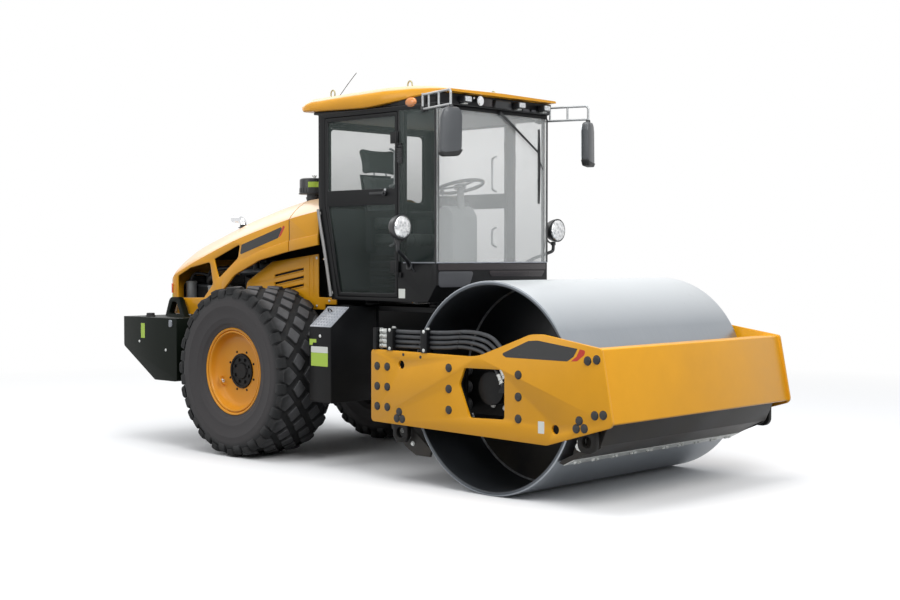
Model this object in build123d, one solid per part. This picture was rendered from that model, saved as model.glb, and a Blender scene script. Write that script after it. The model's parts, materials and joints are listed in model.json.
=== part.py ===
"""Single-drum vibratory road roller: an articulated machine with a smooth steel drum in a front
frame, two tractor tyres under a rear frame, an engine hood and an enclosed cab.

Millimetres. +X runs forward to the drum, +Y to the machine's left, +Z up. While the pieces are made,
x is measured from the drum's axle; save() then moves them so that the middle of the machine's length
stands over the origin, on the ground.
"""
from build123d import *
from math import cos, pi, radians, sin, sqrt
import os

# ---------------------------------------------------------------- driving dimensions
WHEELBASE = 2910
PIVOT_X = -1450              # vertical articulation pin
HITCH_Z = 720                # height of the oscillation shaft

DRUM_RADIUS = 765
DRUM_WIDTH = 2130
DRUM_SHELL = 32
HEAD_DEPTH = 560             # how far each drum head is set in from the drum's end
HEAD_PLATE = 30

TYRE_RADIUS = 725            # to the tips of the tread
TYRE_WIDTH = 590
TYRE_OUTER_Y = 1135
RIM_RADIUS = 345             # bead seat
RIM_FLANGE = 28              # how far the rim's lip stands out past the bead seat

DRUM_SIDE_GAP = 45           # room between the drum's end and a side plate
SIDE_PLATE = 35
REAR_HALF_WIDTH = 1050       # outer side of the rear counterweight box
RAIL_Y = 500                 # outer face of the rear frame's rails
RAIL_PLATE = 30

CAB_HALF_WIDTH = 671
CAB_FRONT = -908
CAB_REAR = -2272
CAB_FLOOR_Z = 1345
CAB_SILL_Z = 1657            # bottom of the front glass
CAB_ROOF_Z = 2850            # top of the glass
CAB_WALL = 35
HOOD_HALF_WIDTH = 660
HOOD_TOP_HALF_WIDTH = 450    # flat top of the hood, inside its sloped shoulders
HOOD_SKIN = 12

PIN_PLAY = 0.05              # radial play of a shaft in its bore
SEAT_GAP = 0.3               # gap between a piece that is laid on and what carries it
MOVE_GAP = 8                 # gap kept around pieces that move past each other

REAR_AXLE_X = -WHEELBASE
DRUM_END_Y = DRUM_WIDTH / 2
FRAME_INNER_Y = DRUM_END_Y + DRUM_SIDE_GAP
FRAME_HALF_WIDTH = FRAME_INNER_Y + SIDE_PLATE


def from_axle(rows):
    """Rows of (x, ...) with x given from the rear axle, as rows with x from the drum's axle."""
    return tuple((REAR_AXLE_X + row[0], *row[1:]) for row in rows)


# ---------------------------------------------------------------- ways of making solids
def block(x, y, z):
    """A box from three (low, high) pairs."""
    size = [high - low for low, high in (x, y, z)]
    middle = [(low + high) / 2 for low, high in (x, y, z)]
    return Pos(*middle) * Box(*size)


def rod(start, end, radius):
    """A round bar from one point to another."""
    axis = Vector(*end) - Vector(*start)
    return Solid.make_cylinder(radius, axis.length, Plane(origin=start, z_dir=axis))


def outline(rows):
    """A closed outline from rows of (a, b, corner radius)."""
    return FilletPolyline(*[(a, b) for a, b, _ in rows], radius=[r for _, _, r in rows], close=True)


def side_plate(rows, y_low, y_high):
    """A plate lying along the machine: rows of (x, z, corner radius), from y_low to y_high."""
    face = make_face(Plane.XZ * outline(rows))
    return Pos(0, y_high, 0) * extrude(face, amount=y_high - y_low, dir=(0, -1, 0))


def cross_plate(rows, x_low, x_high):
    """A plate lying across the machine: rows of (y, z, corner radius), from x_low to x_high."""
    face = make_face(Plane.YZ * outline(rows))
    return Pos(x_low, 0, 0) * extrude(face, amount=x_high - x_low, dir=(1, 0, 0))


def level_plate(rows, z_low, z_high):
    """A level plate: rows of (x, y, corner radius), from z_low to z_high."""
    return Pos(0, 0, z_low) * extrude(make_face(outline(rows)), amount=z_high - z_low, dir=(0, 0, 1))


def turned(rows, x, z):
    """A piece turned about a crosswise axle at x, z: rows of (y, radius)."""
    face = make_face(Plane.YZ * Polyline(*rows, close=True))
    return Pos(x, 0, z) * revolve(face, Axis.Y, 360)


def other_side(shape):
    """The same piece on the machine's other side."""
    return mirror(shape, about=Plane.XZ)


def pair(shape):
    """A piece of the left side and its twin on the right."""
    return [shape, other_side(shape)]


# ---------------------------------------------------------------- front frame: side plates and beam
FRONT_TOP = (1041, 1097)     # front edge of a side plate, as (x, z)
FRONT_BOTTOM = (1141, 587)
SIDE_OUTLINE = (             # x, z, corner radius
    (-1147, 999, 30), (-65, 990, 500), (434, 1168, 180), (541, 1172, 180), (*FRONT_TOP, 25),
    (*FRONT_BOTTOM, 45), (578, 418, 60), (-1148, 450, 30),
)
SIDE_WINDOW = (              # x, z, corner radius
    (-181, 906, 25), (171, 911, 25), (199, 870, 25), (199, 564, 25), (-132, 552, 25), (-235, 785, 60),
)
TIE_DOWN_HOLES = ((-822, 894), (656, 533))
TIE_DOWN_RADIUS = 32


def side_plates():
    plate = side_plate(SIDE_OUTLINE, FRAME_INNER_Y, FRAME_HALF_WIDTH)
    plate -= side_plate(SIDE_WINDOW, FRAME_INNER_Y - 1, FRAME_HALF_WIDTH + 1)
    for x, z in TIE_DOWN_HOLES:
        plate -= rod((x, FRAME_INNER_Y - 1, z), (x, FRAME_HALF_WIDTH + 1, z), TIE_DOWN_RADIUS)
    return pair(plate)


BEAM_RECESS = 12             # the beam's face lies this far behind the side plates' front edges
BEAM_PLATE = 18
BEAM_TOP_DEPTH = 125
BEAM_BOTTOM_DEPTH = 230
BEAM_TOP_Z = FRONT_TOP[1] - 6
BEAM_BOTTOM_Z = FRONT_BOTTOM[1] + 8
BEAM_RAKE = (FRONT_BOTTOM[0] - FRONT_TOP[0]) / (FRONT_TOP[1] - FRONT_BOTTOM[1])


def beam_face_x(z):
    """Where the beam's raked face stands at a height."""
    return FRONT_TOP[0] - BEAM_RECESS + BEAM_RAKE * (FRONT_TOP[1] - z)


def front_beam():
    top, bottom = beam_face_x(BEAM_TOP_Z), beam_face_x(BEAM_BOTTOM_Z)
    inner_top, inner_bottom = BEAM_TOP_Z - BEAM_PLATE, BEAM_BOTTOM_Z + BEAM_PLATE
    rows = (
        (top - BEAM_TOP_DEPTH, BEAM_TOP_Z, 0), (top, BEAM_TOP_Z, 12),
        (bottom, BEAM_BOTTOM_Z, 12), (bottom - BEAM_BOTTOM_DEPTH, BEAM_BOTTOM_Z, 0),
        (bottom - BEAM_BOTTOM_DEPTH, inner_bottom, 0),
        (beam_face_x(inner_bottom) - BEAM_PLATE, inner_bottom, 0),
        (beam_face_x(inner_top) - BEAM_PLATE, inner_top, 0), (top - BEAM_TOP_DEPTH, inner_top, 0),
    )
    return side_plate(rows, -FRAME_INNER_Y, FRAME_INNER_Y)


LUG_PLATE = 40
LUG_HOLE_RADIUS = 40
LUG_HALF = 76
LUGS = (                     # x and z of the hole, height of the lug's top
    (904, 468, 580), (-857, 385, 520),
)


def tie_lugs():
    """Tie-down lugs on the inner faces of the side plates, before and behind the drum."""
    low, high = FRAME_INNER_Y - LUG_PLATE, FRAME_INNER_Y
    lugs = []
    for x, z, top in LUGS:
        rows = ((x - LUG_HALF, top, 0), (x + LUG_HALF, top, 0), (x + LUG_HALF, z - LUG_HALF, 60),
                (x - LUG_HALF, z - LUG_HALF, 60))
        lug = side_plate(rows, low, high) - rod((x, low - 1, z), (x, high + 1, z), LUG_HOLE_RADIUS)
        lugs += pair(lug)
    return lugs


CROSS_REAR = -1130           # rear face of the beam that joins the side plates behind the drum
CROSS_FRONT = -960
CROSS_Z = (480, 960)
CROSS_PLATE = 25
SHAFT_RADIUS = 80            # oscillation shaft
HUB_RADIUS = 150


def rear_crossbeam():
    box = block((CROSS_REAR, CROSS_FRONT), (-FRAME_INNER_Y, FRAME_INNER_Y), CROSS_Z)
    box -= block((CROSS_REAR + CROSS_PLATE, CROSS_FRONT - CROSS_PLATE),
                 (-FRAME_INNER_Y - 1, FRAME_INNER_Y + 1),
                 (CROSS_Z[0] + CROSS_PLATE, CROSS_Z[1] - CROSS_PLATE))
    box += rod((CROSS_REAR - 10, 0, HITCH_Z), (CROSS_FRONT + 10, 0, HITCH_Z), HUB_RADIUS)
    return box - rod((CROSS_REAR - 50, 0, HITCH_Z), (CROSS_FRONT + 50, 0, HITCH_Z), SHAFT_RADIUS + PIN_PLAY)


# ---------------------------------------------------------------- drum and its mounts
HEAD_Y = DRUM_END_Y - HEAD_DEPTH         # outer face of a drum head
DRUM_PIN_RADIUS = 90
DRUM_HUB_RADIUS = 170
DRUM_HUB_LENGTH = 70


def drum_shell():
    inner = DRUM_RADIUS - DRUM_SHELL
    rows = ((-DRUM_END_Y, inner), (DRUM_END_Y, inner), (DRUM_END_Y, DRUM_RADIUS), (-DRUM_END_Y, DRUM_RADIUS))
    return turned(rows, 0, DRUM_RADIUS)


def drum_heads():
    bore = DRUM_PIN_RADIUS + PIN_PLAY
    rows = (
        (HEAD_Y - HEAD_PLATE, bore), (HEAD_Y + DRUM_HUB_LENGTH, bore),
        (HEAD_Y + DRUM_HUB_LENGTH, DRUM_HUB_RADIUS), (HEAD_Y, DRUM_HUB_RADIUS + 40),
        (HEAD_Y, DRUM_RADIUS - DRUM_SHELL), (HEAD_Y - HEAD_PLATE, DRUM_RADIUS - DRUM_SHELL),
    )
    return pair(turned(rows, 0, DRUM_RADIUS))


CARRIER_Y = FRAME_INNER_Y - 210          # inner face of the plate that carries the drum's bearing
CARRIER_PLATE = 30
CARRIER_HALF = (400, 190)    # half length and half height
BRACKET_X = 330              # bolted brackets, before and behind the side window
BRACKET_WIDTH = 110
BRACKET_WALL = 25
BUFFER_RADIUS = 48
BUFFER_LENGTH = 55
BUFFER_ROWS = (-125, 0, 125)
MOTOR_RADIUS = 120


def drum_mounts():
    """Bolted brackets and the bearing carrier of one side, then of both."""
    drum_z = DRUM_RADIUS
    carrier_z = drum_z - 15
    buffer_y = CARRIER_Y + CARRIER_PLATE
    bracket_y = buffer_y + BUFFER_LENGTH
    half_x, half_z = CARRIER_HALF
    carrier = side_plate(((-half_x, carrier_z - half_z, 60), (half_x, carrier_z - half_z, 60),
                          (half_x, carrier_z + half_z, 60), (-half_x, carrier_z + half_z, 60)),
                         CARRIER_Y, CARRIER_Y + CARRIER_PLATE)
    carrier += rod((0, HEAD_Y - HEAD_PLATE, drum_z), (0, CARRIER_Y, drum_z), DRUM_PIN_RADIUS)
    carrier += rod((0, HEAD_Y + DRUM_HUB_LENGTH + 2, drum_z), (0, CARRIER_Y, drum_z), MOTOR_RADIUS + 30)
    carrier += rod((0, CARRIER_Y + CARRIER_PLATE, drum_z), (0, FRAME_INNER_Y - 60, drum_z), MOTOR_RADIUS)
    brackets = []
    for side in (-1, 1):
        x = side * BRACKET_X
        low, high = x - BRACKET_WIDTH / 2, x + BRACKET_WIDTH / 2
        z_span = (carrier_z - half_z, carrier_z + half_z)
        bracket = block((low, high), (bracket_y, bracket_y + BRACKET_WALL), z_span)
        web = (low, low + BRACKET_WALL) if side < 0 else (high - BRACKET_WALL, high)
        bracket += block(web, (bracket_y, FRAME_INNER_Y), z_span)
        brackets.append(bracket)
    return pair(carrier) + [b for bracket in brackets for b in pair(bracket)]


def drum_buffers():
    """Rubber buffers between the carriers and the brackets."""
    low = CARRIER_Y + CARRIER_PLATE
    buffers = []
    for x in (-BRACKET_X, BRACKET_X):
        for rise in BUFFER_ROWS:
            z = DRUM_RADIUS - 15 + rise
            buffers += pair(rod((x, low, z), (x, low + BUFFER_LENGTH, z), BUFFER_RADIUS))
    return buffers


# ---------------------------------------------------------------- scrapers before and behind the drum
SCRAPER_GAP = 8
SCRAPER_HALF_WIDTH = DRUM_END_Y - 25
SCRAPER_END_PLATE = 20
BLADE_BAR = 22


def blade_tip(degrees_below):
    """Where a blade comes nearest to the drum, as x ahead of its axle and z."""
    reach = DRUM_RADIUS + SCRAPER_GAP
    angle = radians(degrees_below)
    return reach * cos(angle), DRUM_RADIUS - reach * sin(angle)


def scrapers():
    """Each scraper: a blade across the drum between two end brackets, hung from its cross beam."""
    front_x, front_z = blade_tip(37.5)
    front = ((1005, BEAM_BOTTOM_Z, 0), (1040, BEAM_BOTTOM_Z, 0), (968, 440, 12),
             (front_x + 40, front_z - 10, 0), (front_x, front_z, 0), (front_x + 30, front_z + 24, 0),
             (940, 458, 12))
    rear_x, rear_z = blade_tip(40)
    bracket = ((-1020, CROSS_Z[0], 0), (-1020, 400, 0), (-960, 340, 0), (-850, 262, 0), (-760, 215, 20),
               (-rear_x - 20, 215, 0), (-rear_x - 8, rear_z, 0), (-780, 395, 20), (-860, CROSS_Z[0], 0))
    blade = ((-rear_x - 170, rear_z - 5, 0), (-rear_x - 12, rear_z - 22, 0), (-rear_x, rear_z, 0),
             (-rear_x - 170, rear_z - 5 + BLADE_BAR, 0))
    hanger = ((-1010, CROSS_Z[0], 0), (-1010 + BLADE_BAR, CROSS_Z[0], 0), (-rear_x - 150, rear_z, 0),
              (-rear_x - 175, rear_z - 5, 0))
    ends = side_plate(bracket, SCRAPER_HALF_WIDTH - SCRAPER_END_PLATE, SCRAPER_HALF_WIDTH)
    rear = side_plate(blade, -SCRAPER_HALF_WIDTH, SCRAPER_HALF_WIDTH)
    rear += side_plate(hanger, -SCRAPER_HALF_WIDTH, SCRAPER_HALF_WIDTH)
    rear += ends
    rear += other_side(ends)
    return [side_plate(front, -SCRAPER_HALF_WIDTH, SCRAPER_HALF_WIDTH), rear]


# ---------------------------------------------------------------- hydraulic hoses along the right side plate
HOSE_RADIUS = 15
HOSE_Y = -(FRAME_INNER_Y - 21)
HOSE_PITCH = 37              # from one hose's centre line down to the next
HOSE_COUNT = 4
HOSE_ROUTE = (               # x, z of the top hose, with the radius of its bend
    (-1085, 1138, 0), (-470, 1138, 700), (-116, 1172, 380), (130, 1110, 200), (236, 905, 0),
)
CLAMP_X = (-942, -584)
CLAMP_WIDTH = 62
BLOCK_X = (-1120, -1085)     # bulkhead that the hoses start from


def hose_path(row):
    drop = row * HOSE_PITCH
    shift = -row * HOSE_PITCH * 0.75          # the lower hoses turn down a little sooner
    points = [(x + (shift if i > 1 else 0), HOSE_Y, z - drop) for i, (x, z, _) in enumerate(HOSE_ROUTE)]
    radii = [max(r - drop, 60) for _, _, r in HOSE_ROUTE[1:-1]]
    return points, radii


def hoses():
    runs = []
    for row in range(HOSE_COUNT):
        points, radii = hose_path(row)
        path = FilletPolyline(*points, radius=radii)
        section = Plane(origin=path @ 0, z_dir=path % 0) * Circle(HOSE_RADIUS)
        runs.append(sweep(section, path=path))
    return runs


MANIFOLD_ROWS = (            # x, z, corner radius: the block on the front bracket that the hoses end in
    (250, 930, 8), (330, 930, 8), (330, 745, 8), (112, 745, 8),
)


def hose_clamps():
    """Two clamps and a bulkhead on the side plate's top edge, and the block that the hoses end in."""
    (x0, z0, _), (x1, z1, _) = SIDE_OUTLINE[:2]
    clamps = []
    width = (-FRAME_HALF_WIDTH + 8, HOSE_Y + HOSE_RADIUS + 8)
    for span in [(x - CLAMP_WIDTH / 2, x + CLAMP_WIDTH / 2) for x in CLAMP_X] + [BLOCK_X]:
        foot = z0 + (z1 - z0) * (span[0] - x0) / (x1 - x0) + SEAT_GAP
        clamp = block(span, width, (foot, HOSE_ROUTE[0][1] + HOSE_RADIUS + 10))
        if span is not BLOCK_X:
            for row in range(HOSE_COUNT):
                points, _ = hose_path(row)
                clamp -= rod(points[0], points[1], HOSE_RADIUS + SEAT_GAP)
        clamps.append(clamp)
    bracket_face = CARRIER_Y + CARRIER_PLATE + BUFFER_LENGTH + BRACKET_WALL
    manifold = side_plate(MANIFOLD_ROWS, -FRAME_INNER_Y + 6, -bracket_face)
    for hose in hoses():
        manifold -= hose
    clamps.append(manifold)
    return clamps


# ---------------------------------------------------------------- hitch and steering cylinders
WALL_X = CAB_REAR - 83       # cross wall that carries the steering cylinders
STEER_REAR_X = WALL_X + 115
PIN_RADIUS = 45
EAR_PLATE = 45
EAR_HALF_WIDTH = 130
HITCH_HALF_HEIGHT = 150
HITCH_RADIUS = 125
STEER_ARM_Y = 350            # steering pin, out from the articulation pin
STEER_ARM_Z = 720
STEER_ARM_PLATE = 28
STEER_EYE_HALF = 27          # half the height of a cylinder's eye
STEER_REAR_Y = 350
BARREL_RADIUS = 52
ROD_RADIUS = 26
EYE_RADIUS = 50


def hitch():
    low, high = HITCH_Z - HITCH_HALF_HEIGHT, HITCH_Z + HITCH_HALF_HEIGHT
    body = rod((PIVOT_X, 0, low), (PIVOT_X, 0, high), HITCH_RADIUS)
    body += block((PIVOT_X, PIVOT_X + 200), (-110, 110), (low + 40, high - 40))
    body += rod((PIVOT_X + 100, 0, HITCH_Z), (CROSS_FRONT + 10, 0, HITCH_Z), SHAFT_RADIUS)
    body += rod((CROSS_FRONT + 11, 0, HITCH_Z), (CROSS_FRONT + 45, 0, HITCH_Z), SHAFT_RADIUS + 40)
    body += rod((CROSS_FRONT + 5, 0, HITCH_Z), (CROSS_FRONT + 15, 0, HITCH_Z), SHAFT_RADIUS)
    for side in (-1, 1):
        for z in (STEER_ARM_Z + STEER_EYE_HALF + 3, STEER_ARM_Z - STEER_EYE_HALF - 3 - STEER_ARM_PLATE):
            tip = side * (STEER_ARM_Y + EYE_RADIUS)
            rows = ((PIVOT_X - 45, 0, 0), (PIVOT_X + 110, 0, 0), (PIVOT_X + 90, side * 150, 30),
                    (PIVOT_X + EYE_RADIUS, tip, EYE_RADIUS - 1), (PIVOT_X - EYE_RADIUS, tip, EYE_RADIUS - 1))
            body += level_plate(rows, z, z + STEER_ARM_PLATE)
    bore = rod((PIVOT_X, 0, low - 1), (PIVOT_X, 0, high + 1), PIN_RADIUS + PIN_PLAY)
    return body - bore


def steering_cylinder(side):
    """The barrel and the rod of one side's cylinder, rod forward."""
    start = Vector(STEER_REAR_X, side * STEER_REAR_Y, STEER_ARM_Z)
    end = Vector(PIVOT_X, side * STEER_ARM_Y, STEER_ARM_Z)
    along = (end - start).normalized()
    length = (end - start).length
    up = Vector(0, 0, STEER_EYE_HALF)
    barrel = rod(start + along * 80, start + along * (length - 255), BARREL_RADIUS)
    barrel += rod(start, start + along * 90, STEER_EYE_HALF - 2)
    barrel += rod(start - up, start + up, EYE_RADIUS)
    barrel -= rod(start - up * 2, start + up * 2, PIN_RADIUS / 2 + 5 + PIN_PLAY)
    barrel -= rod(start + along * 100, start + along * length, ROD_RADIUS + PIN_PLAY)
    shaft = rod(start + along * 300, end - along * 35, ROD_RADIUS)
    shaft += rod(end - up, end + up, EYE_RADIUS)
    shaft -= rod(end - up * 2, end + up * 2, PIN_RADIUS / 2)
    return barrel, shaft


# ---------------------------------------------------------------- rear frame
CHASSIS_REAR = REAR_AXLE_X - 850
CHASSIS_FRONT = PIVOT_X - 306            # front face of the wall behind the articulation
STEP_SHARE = 0.613           # step box's share of the room between the tyre and that face
STEP_REAR = CHASSIS_FRONT - STEP_SHARE * (CHASSIS_FRONT - (REAR_AXLE_X + TYRE_RADIUS))
STEP_OUTER_Y = 1000
STEP_INNER_Y = 790           # where the step's sloped top meets the cab's underside
STEP_TOP_Z = 1131
DECK_Z = 1295
RAIL_LOW_Z = 845
RAIL_TOP_Z = 1250
FRONT_LOW_Z = 525
NOSE_HALF_WIDTH = 150
AXLE_RADIUS = 110
SPINDLE_RADIUS = 60
DECK_FRONT = -1100


def chassis():
    """Two rails, a deck over the articulation, a box nose with the two ears and their pin."""
    rail_rows = (
        (CHASSIS_REAR, RAIL_LOW_Z, 0), (STEP_REAR - 120, RAIL_LOW_Z, 0), (STEP_REAR, FRONT_LOW_Z, 0),
        (CHASSIS_FRONT, FRONT_LOW_Z, 0), (CHASSIS_FRONT, DECK_Z, 0), (STEP_REAR - 200, DECK_Z, 0),
        (STEP_REAR - 300, RAIL_TOP_Z, 0), (CHASSIS_REAR, RAIL_TOP_Z, 0),
    )
    body = side_plate(rail_rows, RAIL_Y - RAIL_PLATE, RAIL_Y)
    body += other_side(body)
    inner = RAIL_Y - RAIL_PLATE
    body += block((STEP_REAR, DECK_FRONT), (-inner, inner), (DECK_Z - 40, DECK_Z))
    body += block((CHASSIS_REAR, CHASSIS_REAR + 40), (-inner, inner), (RAIL_LOW_Z, RAIL_TOP_Z))
    body += block((WALL_X, WALL_X + 30), (-inner, inner), (FRONT_LOW_Z + 40, RAIL_TOP_Z))
    nose_z = (HITCH_Z - HITCH_HALF_HEIGHT - EAR_PLATE - 1, HITCH_Z + HITCH_HALF_HEIGHT + EAR_PLATE + 1)
    body += block((WALL_X, CHASSIS_FRONT + 30), (-NOSE_HALF_WIDTH, NOSE_HALF_WIDTH), nose_z)
    body += block((WALL_X, STEP_REAR + 120), (-inner, inner), (nose_z[1] - 30, nose_z[1]))
    body += block((WALL_X, CHASSIS_FRONT), (-inner, inner), (FRONT_LOW_Z, FRONT_LOW_Z + 25))
    for z in (nose_z[0], nose_z[1] - EAR_PLATE):
        rows = ((CHASSIS_FRONT, -EAR_HALF_WIDTH, 0), (PIVOT_X + 100, -EAR_HALF_WIDTH, 80),
                (PIVOT_X + 100, EAR_HALF_WIDTH, 80), (CHASSIS_FRONT, EAR_HALF_WIDTH, 0))
        body += level_plate(rows, z, z + EAR_PLATE)
    body += rod((PIVOT_X, 0, nose_z[0]), (PIVOT_X, 0, nose_z[1]), PIN_RADIUS)
    body += block((CHASSIS_FRONT - 60, CHASSIS_FRONT - 20), (-inner, inner), (nose_z[1] - 20, DECK_Z))
    for side in (-1, 1):
        x, y = STEER_REAR_X, side * STEER_REAR_Y
        low, high = STEER_ARM_Z - STEER_EYE_HALF - 3, STEER_ARM_Z + STEER_EYE_HALF + 3
        for z in ((low - 25, low), (high, high + 25)):
            body += block((WALL_X, x + 50), (y - 55, y + 55), z)
        body += rod((x, y, low - 10), (x, y, high + 10), PIN_RADIUS / 2 + 5)
    return body


def step_boxes():
    """A box under each cab door: upright outer wall and a sloped tread on top."""
    rows = ((STEP_OUTER_Y, FRONT_LOW_Z, 20), (STEP_OUTER_Y, STEP_TOP_Z, 12), (STEP_INNER_Y, DECK_Z, 0),
            (RAIL_Y, DECK_Z, 0), (RAIL_Y, FRONT_LOW_Z, 0))
    return pair(cross_plate(rows, STEP_REAR, CHASSIS_FRONT))


REAR_TOP_Z = 1148
REAR_OUTLINE = from_axle((   # x, z, corner radius
    (-1675, REAR_TOP_Z, 0), (-850, REAR_TOP_Z, 0), (-850, 584, 30), (-1185, 584, 30), (-1675, 877, 30),
))
HOOP_Y = 710
HOOP_PLATE = 60
HOOP_ROWS = from_axle((      # x, z, corner radius
    (-1460, REAR_TOP_Z - 5, 0), (-1385, 1326, 66), (-1250, 1326, 66), (-1160, REAR_TOP_Z - 5, 0),
))
HOOP_HOLE = from_axle((
    (-1398, 1170, 12), (-1348, 1284, 30), (-1285, 1284, 30), (-1226, 1170, 12),
))
HOOD_PIN = (REAR_AXLE_X - 1487, 1198)    # x, z of the hood's hinge
HOOD_PIN_RADIUS = 12
HOOD_EARS = (330, 400)       # y of a hinge's knuckle on the hood; its ears stand on either side
HOOD_EAR_PLATE = 12


def rear_box():
    """Counterweight box across the tail, with two lifting hoops and the ears of the hood's hinge on top."""
    body = side_plate(REAR_OUTLINE, -REAR_HALF_WIDTH, REAR_HALF_WIDTH)
    low, high = HOOP_Y - HOOP_PLATE / 2, HOOP_Y + HOOP_PLATE / 2
    hoop = side_plate(HOOP_ROWS, low, high) - side_plate(HOOP_HOLE, low - 1, high + 1)
    x, z = HOOD_PIN
    inner, outer = HOOD_EARS
    ears = rod((x, inner - HOOD_EAR_PLATE - 4, z), (x, outer + HOOD_EAR_PLATE + 4, z), HOOD_PIN_RADIUS)
    for y in (inner - HOOD_EAR_PLATE - 1, outer + 1):
        ears += block((x - 20, x + 20), (y, y + HOOD_EAR_PLATE), (REAR_TOP_Z - 5, z))
        ears += rod((x, y, z), (x, y + HOOD_EAR_PLATE, z), 20)
    for piece in (hoop, ears):
        body += piece
        body += other_side(piece)
    return body


def rear_axle():
    """Beam, differential and the wheel spindles."""
    body = rod((REAR_AXLE_X, -510, TYRE_RADIUS), (REAR_AXLE_X, 510, TYRE_RADIUS), AXLE_RADIUS)
    body += rod((REAR_AXLE_X, -150, TYRE_RADIUS), (REAR_AXLE_X, 150, TYRE_RADIUS), 210)
    body += rod((REAR_AXLE_X, -DISC_Y, TYRE_RADIUS), (REAR_AXLE_X, DISC_Y, TYRE_RADIUS), SPINDLE_RADIUS)
    for side in (-1, 1):
        y = side * (RAIL_Y - RAIL_PLATE / 2)
        body += block((REAR_AXLE_X - 120, REAR_AXLE_X + 120), (y - 40, y + 40), (TYRE_RADIUS, RAIL_LOW_Z))
    return body


ENGINE_X = (REAR_AXLE_X - 790, REAR_AXLE_X + 160)
ENGINE_HALF_WIDTH = 330
ENGINE_Z = (1000, 1640)
ENGINE_FEET_X = (REAR_AXLE_X - 740, REAR_AXLE_X + 10)
ENGINE_FEET = 60             # depth of the feet that stand between the rails
RADIATOR_X = (REAR_AXLE_X - 1430, REAR_AXLE_X - 1050)
RADIATOR_HALF_WIDTH = 450
RADIATOR_TOP_Z = REAR_TOP_Z + 292


def engine():
    """The engine as one plain block, with its radiator behind it."""
    inner = RAIL_Y - RAIL_PLATE
    body = block(ENGINE_X, (-ENGINE_HALF_WIDTH, ENGINE_HALF_WIDTH), ENGINE_Z)
    body += block(ENGINE_FEET_X, (-inner, inner), (ENGINE_Z[0], ENGINE_Z[0] + ENGINE_FEET))
    radiator = block(RADIATOR_X, (-RADIATOR_HALF_WIDTH, RADIATOR_HALF_WIDTH), (REAR_TOP_Z, RADIATOR_TOP_Z))
    return [body, radiator]


# ---------------------------------------------------------------- wheels
WHEEL_INNER_Y = TYRE_OUTER_Y - TYRE_WIDTH
RIM_OUTER_Y = TYRE_OUTER_Y - 50
RIM_INNER_Y = WHEEL_INNER_Y + 40
RIM_WALL = 14
DISC_Y = 985                 # outer face of the wheel disc
DISC_PLATE = 20


TREAD_SIDES = 40             # flats round the tyre: two for each block of a column
TREAD_DEPTH = 25
BLOCK_HALF = 88              # half a tread block's diagonal, along and across the tread
BORE_RADIUS = (RIM_RADIUS + SEAT_GAP) / cos(pi / TREAD_SIDES)  # to the corners of the flats
TYRE_ROWS = (                # y from the tyre's middle, radius of the groove floor or sidewall
    (-295, 584), (-210, TYRE_RADIUS - TREAD_DEPTH),
    (210, TYRE_RADIUS - TREAD_DEPTH), (295, 584),
)
BEAD_ROWS = ((218, BORE_RADIUS), (295, 584))  # the cone-shaped hollow that the rim's lip sits in
BLOCK_COLUMNS = (            # y from the tyre's middle, how far its tops lie below the tips, outer corner's y
    (0, 0, BLOCK_HALF), (110, 0, 110 + BLOCK_HALF), (220, 8, 284),
)
SHOULDER_ROWS = (            # y from the tyre's middle, radius: section of a shoulder block
    (240, 640), (274, 702), (294, 590),
)
SHOULDER_HALF = 46           # half its width along the tread


def flat_sided(rows):
    """A form round the axle with flat sides, from rows of (y, radius to the corners)."""
    turns = [2 * pi * i / TREAD_SIDES for i in range(TREAD_SIDES)]
    rings = [[Vector(r * sin(t), y, r * cos(t)) for t in turns] for y, r in rows]
    faces = [Face(Wire.make_polygon(ring)) for ring in (rings[0], rings[-1])]
    for low, high in zip(rings, rings[1:]):
        for i in range(TREAD_SIDES):
            corners = [low[i - 1], low[i], high[i], high[i - 1]]
            faces.append(Face(Wire.make_polygon(corners)))
    return Solid(Shell(faces))


def tread_block(y, sink, outer_y):
    """One diamond block of the tread, standing up from the top of the tyre, its top flat."""
    reach = sqrt(TYRE_RADIUS ** 2 - BLOCK_HALF ** 2) - sink
    corners = [(-BLOCK_HALF, y), (0, y - BLOCK_HALF)]
    if y + BLOCK_HALF > outer_y:
        half = BLOCK_HALF - (outer_y - y)
        corners += [(BLOCK_HALF, y), (half, outer_y), (-half, outer_y)]
    else:
        corners += [(BLOCK_HALF, y), (0, outer_y)]
    face = make_face(Polyline(*corners, close=True))
    low = TYRE_RADIUS - TREAD_DEPTH - 40
    return Pos(0, 0, low) * extrude(face, amount=reach - low, dir=(0, 0, 1))


def tyre():
    """The left tyre: staggered diamond blocks, and shoulder blocks on the side that is seen."""
    body = flat_sided(TYRE_ROWS)
    hollow = flat_sided(BEAD_ROWS)
    shoulder = make_face(Plane.YZ * Polyline(*SHOULDER_ROWS, close=True))
    shoulder = Pos(-SHOULDER_HALF, 0, 0) * extrude(shoulder, amount=2 * SHOULDER_HALF, dir=(1, 0, 0))
    pitch = 720 / TREAD_SIDES
    blocks = []
    for row, column in enumerate(BLOCK_COLUMNS + (None,)):
        block_top = shoulder if column is None else tread_block(*column)
        for i in range(TREAD_SIDES // 2):
            turned_block = Rot(0, pitch * (i + row % 2 / 2), 0) * block_top
            blocks.append(turned_block)
            if row and column:
                blocks.append(other_side(turned_block))
    body = body.fuse(*[b.solids()[0] for b in blocks])
    bore = flat_sided(((-TYRE_WIDTH / 2 - 1, BORE_RADIUS), (TYRE_WIDTH / 2 + 1, BORE_RADIUS)))
    body = body - hollow - other_side(hollow) - bore
    return Pos(REAR_AXLE_X, TYRE_OUTER_Y - TYRE_WIDTH / 2, TYRE_RADIUS) * body


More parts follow.
